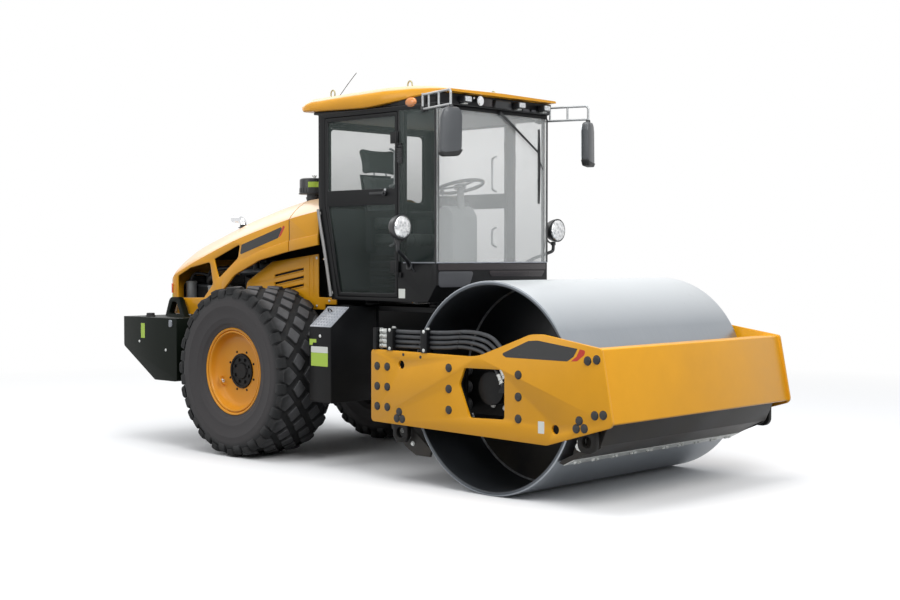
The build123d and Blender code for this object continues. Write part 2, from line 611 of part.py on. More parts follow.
def rim():
    seat, lip = RIM_RADIUS, RIM_RADIUS + RIM_FLANGE
    inner = seat - RIM_WALL
    bore = SPINDLE_RADIUS + PIN_PLAY
    rows = (
        (RIM_INNER_Y, inner), (RIM_INNER_Y, lip), (RIM_INNER_Y + 12, lip), (RIM_INNER_Y + 14, seat),
        (RIM_OUTER_Y - 14, seat), (RIM_OUTER_Y - 12, lip), (RIM_OUTER_Y, lip), (RIM_OUTER_Y, inner + 8),
        (RIM_OUTER_Y - 60, inner - 20), (DISC_Y + 30, inner - 34), (DISC_Y, inner - 70), (DISC_Y, 190),
        (DISC_Y, 130), (DISC_Y + 30, 125), (DISC_Y + 30, bore), (WHEEL_INNER_Y + 30, bore),
        (WHEEL_INNER_Y + 30, 130), (DISC_Y - DISC_PLATE, 150), (DISC_Y - DISC_PLATE, inner - 60),
        (DISC_Y - DISC_PLATE, inner),
    )
    return turned(rows, REAR_AXLE_X, TYRE_RADIUS)


# ---------------------------------------------------------------- hood
HOOD_FRONT = CAB_REAR - 18   # front edge of the fixed section, behind the cab
SEAM_X = HOOD_FRONT - 380
BULKHEAD_PLATE = 16
SEAM_GAP = 12
HOOD_SECTIONS = from_axle((  # x, height of the crease, height of the top
    (-1514, 1490, 1655), (-1320, 1572, 1760), (-950, 1707, 1882), (-434, 1866, 2035),
)) + (
    (SEAM_X, 2021, 2183), (HOOD_FRONT, 2084, 2205),
)
HOOD_BOTTOM = 1169
HOOD_ARCH = from_axle((      # x, z, corner radius: what the wheel arch cuts away
    (-970, 1100, 0), (-953, 1184, 40), (-788, 1307, 0), (-508, 1537, 200), (-154, 1671, 300),
)) + (
    (SEAM_X - 20, 1742, 0), (HOOD_FRONT + 10, 1800, 0), (HOOD_FRONT + 10, 1100, 0),
)
HOOD_WINDOWS = (             # x, z, corner radius
    from_axle(((-1368, 1318, 15), (-967, 1326, 15), (-831, 1452, 15), (-874, 1652, 15), (-1170, 1600, 30),
               (-1368, 1520, 15))),
    from_axle(((-814, 1679, 12), (-771, 1562, 30), (-742, 1507, 8), (-464, 1689, 40), (-434, 1813, 12))),
)


def hood_solid(inset, first, last):
    """The hood's closed form between two x, drawn in by an inset."""
    def height(x, column):
        for low, high in zip(HOOD_SECTIONS, HOOD_SECTIONS[1:]):
            if low[0] <= x <= high[0]:
                share = (x - low[0]) / (high[0] - low[0])
                return low[column] + share * (high[column] - low[column])
        return HOOD_SECTIONS[-1 if x > HOOD_SECTIONS[-1][0] else 0][column]

    inside = [row[0] for row in HOOD_SECTIONS if first < row[0] < last]
    wide, narrow = HOOD_HALF_WIDTH - inset, HOOD_TOP_HALF_WIDTH - inset * 0.5
    body = None
    stations = [first] + inside + [last]
    for a, b in zip(stations, stations[1:]):
        faces = []
        for x in (a, b):
            crease, top = height(x, 1) - inset * 0.5, height(x, 2) - inset
            corners = [(-wide, HOOD_BOTTOM - inset), (-wide, crease), (-narrow, top),
                       (narrow, top), (wide, crease), (wide, HOOD_BOTTOM - inset)]
            faces.append(Pos(x, 0, 0) * make_face(Plane.YZ * Polyline(*corners, close=True)))
        piece = loft(faces, ruled=True)
        body = piece if body is None else body + piece
    return body


def hood_cut(body):
    body -= side_plate(HOOD_ARCH, -HOOD_HALF_WIDTH - 50, HOOD_HALF_WIDTH + 50)
    for rows in HOOD_WINDOWS:
        body -= side_plate(rows, -HOOD_HALF_WIDTH - 50, HOOD_HALF_WIDTH + 50)
    return body


def hood():
    """The tilting rear hood: a thin moulding, open below and in front, with a slatted tail."""
    rear, front = HOOD_SECTIONS[0][0], SEAM_X - SEAM_GAP / 2
    body = hood_solid(0, rear, front) - hood_solid(HOOD_SKIN, rear + HOOD_SKIN, front + 1)
    body = hood_cut(body)
    x, z = HOOD_PIN
    inner, outer = HOOD_EARS
    notch = HOOD_EAR_PLATE + 12
    knuckle = rod((x, inner, z), (x, outer, z), HOOD_PIN_RADIUS + 10)
    knuckle += block((rear + 1, x + 12), (inner, outer), (z, z + 60))
    knuckle -= rod((x, inner - 1, z), (x, outer + 1, z), HOOD_PIN_RADIUS + PIN_PLAY)
    opening = block((rear - 5, x + 5), (inner - notch, outer + notch), (HOOD_BOTTOM - 5, z + 30))
    for cutter, lug in ((opening, knuckle), (other_side(opening), other_side(knuckle))):
        body -= cutter
        body += lug
    return body


def hood_fixed():
    """The short fixed section before the cab, on a bulkhead that stands on the chassis."""
    rear, front = SEAM_X + SEAM_GAP / 2, HOOD_SECTIONS[-1][0]
    body = hood_solid(0, rear, front) - hood_solid(HOOD_SKIN, rear - 1, front + 1)
    bulkhead = hood_solid(0, WALL_X, WALL_X + BULKHEAD_PLATE)
    body = hood_cut(body + bulkhead)
    foot_z = (RAIL_TOP_Z + SEAT_GAP, HOOD_SECTIONS[-1][1] - 150)
    return body + block((WALL_X, WALL_X + BULKHEAD_PLATE), (-RAIL_Y, RAIL_Y), foot_z)


PANEL_Y = 530                # outer face, just inboard of the tyre
PANEL_PLATE = 12
PANEL_REAR = REAR_AXLE_X - 510
PANEL_FRONT = CAB_REAR - 166
PANEL_LOW_Z = RAIL_TOP_Z + SEAT_GAP
PANEL_ROWS = (               # x, z, corner radius
    (PANEL_REAR, PANEL_LOW_Z, 0), (WALL_X, PANEL_LOW_Z, 0), (WALL_X, 1296, 0), (WALL_X + 145, 1296, 0),
    (WALL_X + 145, 1352, 15), (PANEL_FRONT, 1356, 0), (PANEL_FRONT, 1725, 0), (REAR_AXLE_X - 150, 1655, 60),
    (PANEL_REAR, 1470, 60),
)
SLOT_X = (REAR_AXLE_X - 113, PANEL_FRONT - 194)
SLOT_Z = (1530, 1461, 1392)  # at a slot's rear end
SLOT_RISE = 64               # from a slot's rear end to its front end
SLOT_HEIGHT = 22


def side_panels():
    """Louvred panels over the rails, between the wheel arch and the cab."""
    panel = side_plate(PANEL_ROWS, PANEL_Y - PANEL_PLATE, PANEL_Y)
    (rear, front), half = SLOT_X, SLOT_HEIGHT / 2
    for z in SLOT_Z:
        rows = ((rear, z - half, 0), (front, z + SLOT_RISE - half, 0), (front, z + SLOT_RISE + half, 0),
                (rear, z + half, 0))
        panel -= side_plate(rows, PANEL_Y - PANEL_PLATE - 1, PANEL_Y + 1)
    panel += block((PANEL_REAR, WALL_X - 5), (RAIL_Y - RAIL_PLATE, PANEL_Y),
                   (PANEL_LOW_Z, RAIL_TOP_Z + PANEL_PLATE))
    return pair(panel)


EXHAUST_Y = -420
EXHAUST_ROUTE = from_axle(((-680, 1900), (-688, 2036), (-832, 2048)))     # x, z
EXHAUST_RADIUS = 32


def exhaust():
    """Bent tail pipe on the hood."""
    points = [(x, EXHAUST_Y, z) for x, z in EXHAUST_ROUTE]
    path = FilletPolyline(*points, radius=[60])
    pipe = sweep(Plane(origin=path @ 0, z_dir=path % 0) * Circle(EXHAUST_RADIUS), path=path)
    return pipe - hood_solid(0, HOOD_SECTIONS[0][0], SEAM_X)


CLEANER_AT = (SEAM_X - 80, -300)         # x, y
CLEANER_RADIUS = 130
CLEANER_STUB = 68
CLEANER_Z = (2246, 2390)


def pre_cleaner():
    """Air intake bowl on top of the hood."""
    x, y = CLEANER_AT
    low, high = CLEANER_Z
    body = rod((x, y, low), (x, y, high), CLEANER_RADIUS)
    body += rod((x, y, low), (x, y, low + 12), CLEANER_RADIUS + 8)
    body += rod((x, y, low - 110), (x, y, low + 5), CLEANER_STUB)
    return body - hood_solid(0, HOOD_SECTIONS[0][0], HOOD_SECTIONS[-1][0])


# ---------------------------------------------------------------- cab
FLOOR_PLATE = 40
CAB_REAR_KINK = (CAB_REAR, 2132)         # below this the rear wall slopes forward
CAB_REAR_FOOT = (CAB_REAR + 163, CAB_FLOOR_Z)
CAB_TOP_Z = CAB_ROOF_Z + 35
CAB_ROWS = (                 # x, z, corner radius
    (CAB_FRONT - 90, CAB_FLOOR_Z, 0), (CAB_FRONT, CAB_FLOOR_Z + 130, 30), (CAB_FRONT, CAB_TOP_Z, 0),
    (CAB_REAR, CAB_TOP_Z, 0), (*CAB_REAR_KINK, 60), (*CAB_REAR_FOOT, 0),
)
DOOR_FRONT = -1328
DOOR_PILLAR = 70             # pillar between the door and the fixed quarter glass
DOOR_REAR_INSET = 78
DOOR_LOW_Z = CAB_FLOOR_Z + 27
DOOR_HIGH_Z = CAB_ROOF_Z
DOOR_GAP = 6
DOOR_THICKNESS = 30


def rear_slope(inset):
    """The rear edge of a side opening, as (upper x, kink z, lower x), drawn in from the cab's rear."""
    run = (CAB_REAR_FOOT[0] - CAB_REAR) / (CAB_REAR_KINK[1] - CAB_FLOOR_Z)
    return CAB_REAR + inset, CAB_REAR_KINK[1], CAB_REAR + inset + run * (CAB_REAR_KINK[1] - DOOR_LOW_Z)


def door_rows(inset):
    """Outline of the door opening, drawn in by an inset."""
    upper, kink, lower = rear_slope(DOOR_REAR_INSET)
    return (
        (DOOR_FRONT - inset, DOOR_LOW_Z + inset, 15), (DOOR_FRONT - inset, DOOR_HIGH_Z - inset, 15),
        (upper + inset, DOOR_HIGH_Z - inset, 15), (upper + inset, kink, 40),
        (lower + inset, DOOR_LOW_Z + inset, 15),
    )


QUARTER_ROWS = (             # x, z, corner radius: fixed glass between the door and the windscreen
    (DOOR_FRONT + DOOR_PILLAR, CAB_SILL_Z, 10), (CAB_FRONT - CAB_WALL, CAB_SILL_Z, 10),
    (CAB_FRONT - CAB_WALL, CAB_ROOF_Z, 10), (DOOR_FRONT + DOOR_PILLAR, CAB_ROOF_Z, 10),
)
FRONT_GLASS_HALF = CAB_HALF_WIDTH - CAB_WALL
REAR_GLASS_HALF = 560
REAR_GLASS_Z = (2170, 2780)
GLASS = 6

HINGE_Z = (1620, 2640)
HINGE_RADIUS = 14
HINGE_HALF = 45
HINGE_X = DOOR_FRONT + 14
HINGE_Y = CAB_HALF_WIDTH + 18


def cab_frame():
    """Pillars, rails and lower walls of the cab: one hollow shell with its openings cut."""
    body = side_plate(CAB_ROWS, -CAB_HALF_WIDTH, CAB_HALF_WIDTH)
    inner = (
        (CAB_FRONT - 90 - CAB_WALL + 20, CAB_FLOOR_Z - 1, 0), (CAB_FRONT - CAB_WALL, CAB_FLOOR_Z + 140, 20),
        (CAB_FRONT - CAB_WALL, CAB_TOP_Z - CAB_WALL, 0), (CAB_REAR + CAB_WALL, CAB_TOP_Z - CAB_WALL, 0),
        (CAB_REAR_KINK[0] + CAB_WALL, CAB_REAR_KINK[1], 40),
        (CAB_REAR_FOOT[0] + CAB_WALL, CAB_FLOOR_Z - 1, 0),
    )
    wall = CAB_HALF_WIDTH - CAB_WALL
    body -= side_plate(inner, -wall, wall)
    past = CAB_HALF_WIDTH + 10
    body -= side_plate(door_rows(0), -past, past)
    body -= side_plate(QUARTER_ROWS, -past, past)
    body -= block((CAB_FRONT - CAB_WALL - 5, CAB_FRONT + 5), (-FRONT_GLASS_HALF, FRONT_GLASS_HALF),
                  (CAB_SILL_Z, CAB_ROOF_Z))
    body -= block((CAB_REAR - 5, CAB_REAR + CAB_WALL + 5), (-REAR_GLASS_HALF, REAR_GLASS_HALF), REAR_GLASS_Z)
    for z in HINGE_Z:
        span = (z - HINGE_HALF - 40, z - HINGE_HALF - SEAT_GAP)
        knuckle = rod((HINGE_X, HINGE_Y, span[0]), (HINGE_X, HINGE_Y, span[1]), HINGE_RADIUS)
        knuckle += block((HINGE_X - 8, HINGE_X + 40), (CAB_HALF_WIDTH - 2, HINGE_Y), span)
        body += knuckle
        body += other_side(knuckle)
    return body


def cab_floor():
    """Floor of the cab, on four mounts that stand on the deck."""
    wall = CAB_HALF_WIDTH - CAB_WALL
    length = (CAB_REAR_FOOT[0] + CAB_WALL, CAB_FRONT - 90 - CAB_WALL + 20)
    body = block(length, (-wall, wall), (CAB_FLOOR_Z, CAB_FLOOR_Z + FLOOR_PLATE))
    for x in (STEP_REAR + 90, DECK_FRONT - 80):
        for y in (-380, 380):
            body += rod((x, y, DECK_Z), (x, y, CAB_FLOOR_Z), 50)
    return body


def cab_glass():
    """Windscreen, rear window and the two quarter panes."""
    screen = block((CAB_FRONT - 20 - GLASS, CAB_FRONT - 20), (-FRONT_GLASS_HALF, FRONT_GLASS_HALF),
                   (CAB_SILL_Z, CAB_ROOF_Z))
    rear = block((CAB_REAR + 18, CAB_REAR + 18 + GLASS), (-REAR_GLASS_HALF, REAR_GLASS_HALF), REAR_GLASS_Z)
    quarter = side_plate(QUARTER_ROWS, CAB_HALF_WIDTH - 20 - GLASS, CAB_HALF_WIDTH - 20)
    return [screen, rear] + pair(quarter)


DOOR_RAIL_Z = (2119, 2241)
DOOR_STILE = 26


def door(side):
    """One door's frame with two window openings, and its two panes."""
    outer, inner = CAB_HALF_WIDTH, CAB_HALF_WIDTH - DOOR_THICKNESS
    frame = side_plate(door_rows(DOOR_GAP), inner, outer)
    hole = side_plate(door_rows(DOOR_GAP + DOOR_STILE), inner - 1, outer + 1)
    rail = block((CAB_REAR, DOOR_FRONT), (inner - 1, outer + 1), DOOR_RAIL_Z)
    frame -= hole - rail
    pane_y = (inner + 12, inner + 12 + GLASS)
    panes = side_plate(door_rows(DOOR_GAP + DOOR_STILE), *pane_y)
    panes -= block((CAB_REAR, DOOR_FRONT), (inner - 1, outer + 1), DOOR_RAIL_Z)
    for z in HINGE_Z:
        span = (z - HINGE_HALF, z + HINGE_HALF)
        frame += rod((HINGE_X, HINGE_Y, span[0]), (HINGE_X, HINGE_Y, span[1]), HINGE_RADIUS)
        frame += block((DOOR_FRONT - 60, HINGE_X), (outer + 4, HINGE_Y + 6), span)
        frame += block((DOOR_FRONT - 60, DOOR_FRONT - DOOR_GAP), (outer - 2, outer + 5), span)
    return (frame, panes) if side > 0 else (other_side(frame), other_side(panes))


ROOF_OVERHANG = 45
ROOF_FRONT = CAB_FRONT + 108
ROOF_ROWS = (                # x, z, corner radius
    (CAB_REAR - 168, CAB_ROOF_Z + 62, 25), (-1705, CAB_ROOF_Z + 43, 600), (-1190, CAB_ROOF_Z + 90, 300),
    (ROOF_FRONT, CAB_ROOF_Z + 122, 0), (ROOF_FRONT, CAB_ROOF_Z + 140, 10), (-1200, CAB_ROOF_Z + 196, 700),
    (-1700, CAB_ROOF_Z + 190, 600), (CAB_REAR - 107, CAB_ROOF_Z + 172, 60),
    (CAB_REAR - 184, CAB_ROOF_Z + 110, 30),
)
ROOF_PLAN = (                # x, half width, corner radius
    (CAB_REAR - 198, CAB_HALF_WIDTH + ROOF_OVERHANG, 0), (-1500, CAB_HALF_WIDTH + ROOF_OVERHANG, 300),
    (-1120, CAB_HALF_WIDTH - 14, 300), (ROOF_FRONT + 20, CAB_HALF_WIDTH - 14, 0),
)
FASCIA_ROWS = (              # x, z, corner radius; its top is trimmed to the roof's underside
    (CAB_REAR - 60, CAB_TOP_Z, 0), (CAB_FRONT + 28, CAB_TOP_Z, 0), (CAB_FRONT + 46, CAB_ROOF_Z + 125, 0),
    (CAB_REAR - 60, CAB_ROOF_Z + 125, 0),
)


def cab_roof():
    """Moulded roof, wider behind the doors than over the windscreen."""
    wide = CAB_HALF_WIDTH + ROOF_OVERHANG
    plan = ROOF_PLAN + tuple((x, -y, r) for x, y, r in reversed(ROOF_PLAN))
    return side_plate(ROOF_ROWS, -wide, wide) & level_plate(plan, CAB_TOP_Z, CAB_TOP_Z + 215)


def roof_fascia():
    """Black band between the cab's frame and the roof."""
    past = CAB_HALF_WIDTH + 1
    roof = Pos(0, 0, -SEAT_GAP) * side_plate(ROOF_ROWS, -past, past)
    return side_plate(FASCIA_ROWS, -CAB_HALF_WIDTH, CAB_HALF_WIDTH) - roof


# ---------------------------------------------------------------- inside the cab
SEAT_X = CAB_REAR + 252      # back of the seat cushion
SEAT_Y = -150
SEAT_Z = CAB_FLOOR_Z + 555
SEAT_BACK = 725              # height of the back above the cushion
SEAT_LEAN = 155              # how far its top lies behind its foot
ARM_REST_Y = 250


def seat_base():
    floor = CAB_FLOOR_Z + FLOOR_PLATE
    body = block((SEAT_X + 40, SEAT_X + 460), (-210, 210), (floor, SEAT_Z - 110 - SEAT_GAP))
    for side in (-1, 1):
        y = side * ARM_REST_Y
        body += block((SEAT_X + 60, SEAT_X + 420), (y - 35, y + 35), (SEAT_Z + 120, SEAT_Z + 180))
        body += block((SEAT_X + 60, SEAT_X + 120), (y - 25, y + 25), (SEAT_Z - 160, SEAT_Z + 125))
        body += block((SEAT_X + 60, SEAT_X + 120), (min(0, y), max(0, y)), (SEAT_Z - 170, SEAT_Z - 111))
    return Pos(0, SEAT_Y, 0) * body


def seat_cushions():
    cushion = block((SEAT_X, SEAT_X + 500), (-215, 215), (SEAT_Z - 110, SEAT_Z))
    rows = ((SEAT_X - 10, SEAT_Z + SEAT_GAP, 20), (SEAT_X + 100, SEAT_Z + SEAT_GAP, 20),
            (SEAT_X + 100 - SEAT_LEAN, SEAT_Z + SEAT_BACK, 40), (SEAT_X - SEAT_LEAN, SEAT_Z + SEAT_BACK, 40))
    back = side_plate(rows, -210, 210)
    return [Pos(0, SEAT_Y, 0) * cushion, Pos(0, SEAT_Y, 0) * back]


CONSOLE_X = (CAB_FRONT - 392, CAB_FRONT - 172)
CONSOLE_TOP = CAB_FLOOR_Z + 765
WHEEL_HUB = (CAB_FRONT - 232, CONSOLE_TOP + 155)         # x, z of the steering wheel's middle
WHEEL_RADIUS = 190


def console():
    """Steering column with its wheel."""
    body = block(CONSOLE_X, (-150, 150), (CAB_FLOOR_Z + FLOOR_PLATE, CONSOLE_TOP))
    hub = Vector(WHEEL_HUB[0], 0, WHEEL_HUB[1])
    lean = Vector(-0.25, 0, 0.97).normalized()
    body += rod(Vector(WHEEL_HUB[0] + 10, 0, CONSOLE_TOP - 40), hub, 30)
    wheel = Plane(origin=hub, z_dir=lean) * Torus(WHEEL_RADIUS, 15)
    spokes = Box(30, 2 * WHEEL_RADIUS, 10) + Box(2 * WHEEL_RADIUS, 30, 10) + Cylinder(45, 30)
    spokes = Plane(origin=hub, z_dir=lean) * spokes
    return Pos(0, SEAT_Y, 0) * (body + (wheel + spokes))


# ---------------------------------------------------------------- outside fittings of the cab
MIRROR_AT = (-600, 830, 2632)
MIRROR_SIZE = (70, 190, 375)
MIRROR_TOE = 20
MIRROR_ARM = 11


def mirrors():
    """Mirror heads, each hung from a ladder of two bars that starts at a foot plate on the cab."""
    x, y, z = MIRROR_AT
    shell = Pos(x, y, z) * Rot(0, 0, MIRROR_TOE) * Box(*MIRROR_SIZE)
    top = z + MIRROR_SIZE[2] / 2
    root = CAB_HALF_WIDTH + 30
    arms = block((CAB_FRONT - 140, CAB_FRONT - 80), (CAB_HALF_WIDTH, root + MIRROR_ARM), (top, top + 60))
    arms += rod((CAB_FRONT - 110, root, top + 5), (CAB_FRONT - 110, root, top + 148), MIRROR_ARM + 3)
    arms += rod((x, y, top - 30), (x, y, top + 148), MIRROR_ARM + 3)
    for height in (top + 20, top + 130):
        arms += rod((CAB_FRONT - 110, root, height), (x, y, height), MIRROR_ARM)
    return pair(shell + arms)


HEADLAMP_AT = (-1045, 935, 1925)
HEADLAMP_RADIUS = 100
HEADLAMP_FOOT = (-1185, 1622)            # x, z of its stalk's foot on the cab's side


def headlamps():
    x, y, z = HEADLAMP_AT
    foot_x, foot_z = HEADLAMP_FOOT
    lamp = rod((x - 60, y, z), (x + 50, y, z), HEADLAMP_RADIUS)
    lamp += rod((x - 10, y, z - 190), (x - 10, y, z), 18)
    lamp += rod((x - 10, y, z - 180), (foot_x, CAB_HALF_WIDTH + 20, foot_z), 16)
    lamp += block((foot_x - 30, foot_x + 30), (CAB_HALF_WIDTH, CAB_HALF_WIDTH + 24),
                  (foot_z - 24, foot_z + 24))
    return pair(lamp)


WORK_LAMP_Y = (-417, 227, 543)
WORK_LAMP_Z = CAB_ROOF_Z + 75
WORK_LAMP_SIZE = (100, 85, 50)


def work_lamps():
    depth, width, height = WORK_LAMP_SIZE
    low, high = WORK_LAMP_Z - height / 2, WORK_LAMP_Z + height / 2
    lamps = [block((CAB_FRONT + 8, CAB_FRONT + 8 + depth), (y - width / 2, y + width / 2), (low, high))
             for y in WORK_LAMP_Y]
    carrier = roof_fascia() + cab_roof()
    return [lamp - carrier for lamp in lamps]


EYE_X = (-2281, -1361)
EYE_Y = 500
EYE_Z = CAB_ROOF_Z + 225     # middle of an eye's ring


AERIAL_ROOT = (CAB_REAR - 58, -419, CAB_ROOF_Z + 152)
AERIAL_TIP = (CAB_REAR + 195, -419, CAB_ROOF_Z + 389)


def roof_fittings():
    """Lifting eyes and the radio aerial on the roof."""
    roof = cab_roof()
    fittings = [rod(AERIAL_ROOT, AERIAL_TIP, 6)]
    for x in EYE_X:
        for y in (-EYE_Y, EYE_Y):
            ring = Pos(x, y, EYE_Z) * Rot(90, 0, 0) * (Cylinder(32, 14) - Cylinder(18, 14))
            fittings.append(ring + rod((x, y, EYE_Z - 55), (x, y, EYE_Z - 20), 10))
    return [fitting - roof for fitting in fittings]


WIPER_PIVOT = (60, CAB_ROOF_Z + 12)      # y, z
WIPER_TIP = (560, 2560)
WIPER_BLADE_Z = (2140, 2760)


def wiper():
    """Arm and blade in front of the windscreen."""
    y, z = WIPER_PIVOT
    arm = rod((CAB_FRONT, y, z - 8), (CAB_FRONT + 32, y, z - 8), 10)
    arm += rod((CAB_FRONT + 22, y, z - 8), (CAB_FRONT + 22, *WIPER_TIP), 8)
    blade_y = (WIPER_TIP[0] - 9, WIPER_TIP[0] + 9)
    arm += block((CAB_FRONT - 20 + SEAT_GAP, CAB_FRONT + 24), blade_y, WIPER_BLADE_Z)
    return arm


# ---------------------------------------------------------------- write the pieces
wheel_pieces = {"tyre": tyre(), "rim": rim()}
side_pieces = side_plates()
FRONT_REACH = side_pieces[0].bounding_box().max.X
REAR_REACH = REAR_OUTLINE[0][0]
MIDDLE_X = -(FRONT_REACH + REAR_REACH) / 2


def save(node, shapes):
    """Write a node's solids to its file, moved into the machine's own frame."""
    if not isinstance(shapes, (list, tuple)):
        shapes = [shapes]
    solids = [solid for shape in shapes for solid in shape.solids()]
    body = solids[0] if len(solids) == 1 else Compound(solids)
    export_step(Pos(MIDDLE_X, 0, 0) * body, f"parts/{node}.step")


os.makedirs("parts", exist_ok=True)
save("side_plates", side_pieces)
save("front_beam", front_beam())
save("tie_lugs", tie_lugs())
save("rear_crossbeam", rear_crossbeam())
save("drum_shell", drum_shell())
save("drum_heads", drum_heads())
save("drum_mounts", drum_mounts())
save("drum_buffers", drum_buffers())
save("scrapers", scrapers())
save("hoses", hoses())
save("hose_clamps", hose_clamps())
save("hitch", hitch())
for name, side in (("left", 1), ("right", -1)):
    barrel, shaft = steering_cylinder(side)
    save(f"steering_barrel_{name}", barrel)
    save(f"steering_rod_{name}", shaft)
    door_frame, door_panes = door(side)
    save(f"door_{name}", door_frame)
    save(f"door_glass_{name}", door_panes)
    for piece, shape in wheel_pieces.items():
        save(f"{piece}_{name}", shape if side > 0 else other_side(shape))
save("chassis", chassis())
save("step_boxes", step_boxes())
save("rear_box", rear_box())
save("rear_axle", rear_axle())
save("engine", engine())
save("hood", hood())
save("hood_fixed", hood_fixed())
save("side_panels", side_panels())
save("exhaust", exhaust())
save("pre_cleaner", pre_cleaner())
save("cab_frame", cab_frame())
save("cab_floor", cab_floor())
save("cab_glass", cab_glass())
save("cab_roof", cab_roof())
save("roof_fascia", roof_fascia())
save("seat_base", seat_base())
save("seat_cushions", seat_cushions())
save("console", console())
save("mirrors", mirrors())
save("headlamps", headlamps())
save("work_lamps", work_lamps())
save("roof_fittings", roof_fittings())
save("wiper", wiper())
print(f"middle of the length lies {MIDDLE_X:.3f} mm ahead of the drum axle's origin")
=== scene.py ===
"""Looks of a single-drum road roller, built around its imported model.

Metres. +X runs forward to the drum, +Y to the machine's left, +Z up, and the origin lies on the ground
under the middle of the machine. The file follows the machine as it is put together: front frame and
drum, hitch, rear frame, wheels, engine and hood, cab, its fittings, and last the floor, lamps and camera.
"""
import json
from math import atan2, copysign, cos, pi, radians, sin, sqrt, tan

import bmesh
import bpy
from mathutils import Matrix, Vector


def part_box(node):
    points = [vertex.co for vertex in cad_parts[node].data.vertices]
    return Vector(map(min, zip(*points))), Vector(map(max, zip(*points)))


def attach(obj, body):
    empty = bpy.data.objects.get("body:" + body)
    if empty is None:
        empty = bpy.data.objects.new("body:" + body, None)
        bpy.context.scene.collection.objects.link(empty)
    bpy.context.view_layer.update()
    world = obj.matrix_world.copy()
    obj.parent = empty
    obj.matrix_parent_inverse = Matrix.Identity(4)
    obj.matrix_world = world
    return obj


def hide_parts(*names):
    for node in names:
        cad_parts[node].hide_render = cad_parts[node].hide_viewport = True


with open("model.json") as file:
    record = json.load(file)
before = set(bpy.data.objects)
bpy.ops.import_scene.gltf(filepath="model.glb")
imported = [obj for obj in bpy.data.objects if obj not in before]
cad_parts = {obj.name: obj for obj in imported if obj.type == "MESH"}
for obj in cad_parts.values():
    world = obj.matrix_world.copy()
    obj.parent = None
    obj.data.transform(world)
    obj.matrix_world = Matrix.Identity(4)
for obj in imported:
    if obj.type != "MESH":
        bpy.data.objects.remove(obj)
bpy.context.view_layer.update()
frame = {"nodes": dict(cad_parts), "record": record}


# ==================================================================== front frame: side plates
# Two flame-cut steel plates, 35 mm thick, joined by a beam in front of the drum and one behind it.
# They are shot-blasted, primed and sprayed with two coats of yellow enamel, so their edges are rounded.
DRUM_X = 1.725504            # the drum's axle
PLATE_Y = 1.132              # outer face of a side plate
CAP_RISE = 0.013             # how far a bolt cap stands proud of it
NAMED_SIDES = (("left", 1), ("right", -1))


def at(x, y, z):
    """A place given from the drum's axle, in the machine's frame."""
    return Vector((DRUM_X + x, y, z))


def tint(code):
    """A colour as it is written on a paint card (six hex digits), as linear red, green and blue."""
    parts = [int(code[i:i + 2], 16) / 255 for i in (0, 2, 4)]
    return tuple(p / 12.92 if p <= 0.04045 else ((p + 0.055) / 1.055) ** 2.4 for p in parts)


class Socket:
    """An output of a shader node that takes part in Python arithmetic."""

    def __init__(self, finish, output):
        self.finish, self.output = finish, output

    def math(self, operation, *values, clamp=False):
        """The result of one operation on numbers or outputs."""
        settings = {"operation": operation, "use_clamp": clamp}
        return self.finish.node("ShaderNodeMath", settings, dict(enumerate(values)))

    def __add__(self, other):
        return self.math("ADD", self, other)

    def __sub__(self, other):
        return self.math("SUBTRACT", self, other)

    def __rsub__(self, other):
        return self.math("SUBTRACT", other, self)

    def __mul__(self, other):
        return self.math("MULTIPLY", self, other)

    def __truediv__(self, other):
        return self.math("DIVIDE", self, other)

    def __pow__(self, other):
        return self.math("POWER", self, other)

    __radd__, __rmul__ = __add__, __mul__

    def held(self):
        """Kept between 0 and 1."""
        return self.math("ADD", self, 0.0, clamp=True)

    def over(self, edge, width):
        """0 below an edge, rising to 1 over a width."""
        return ((self - edge) / width).held()


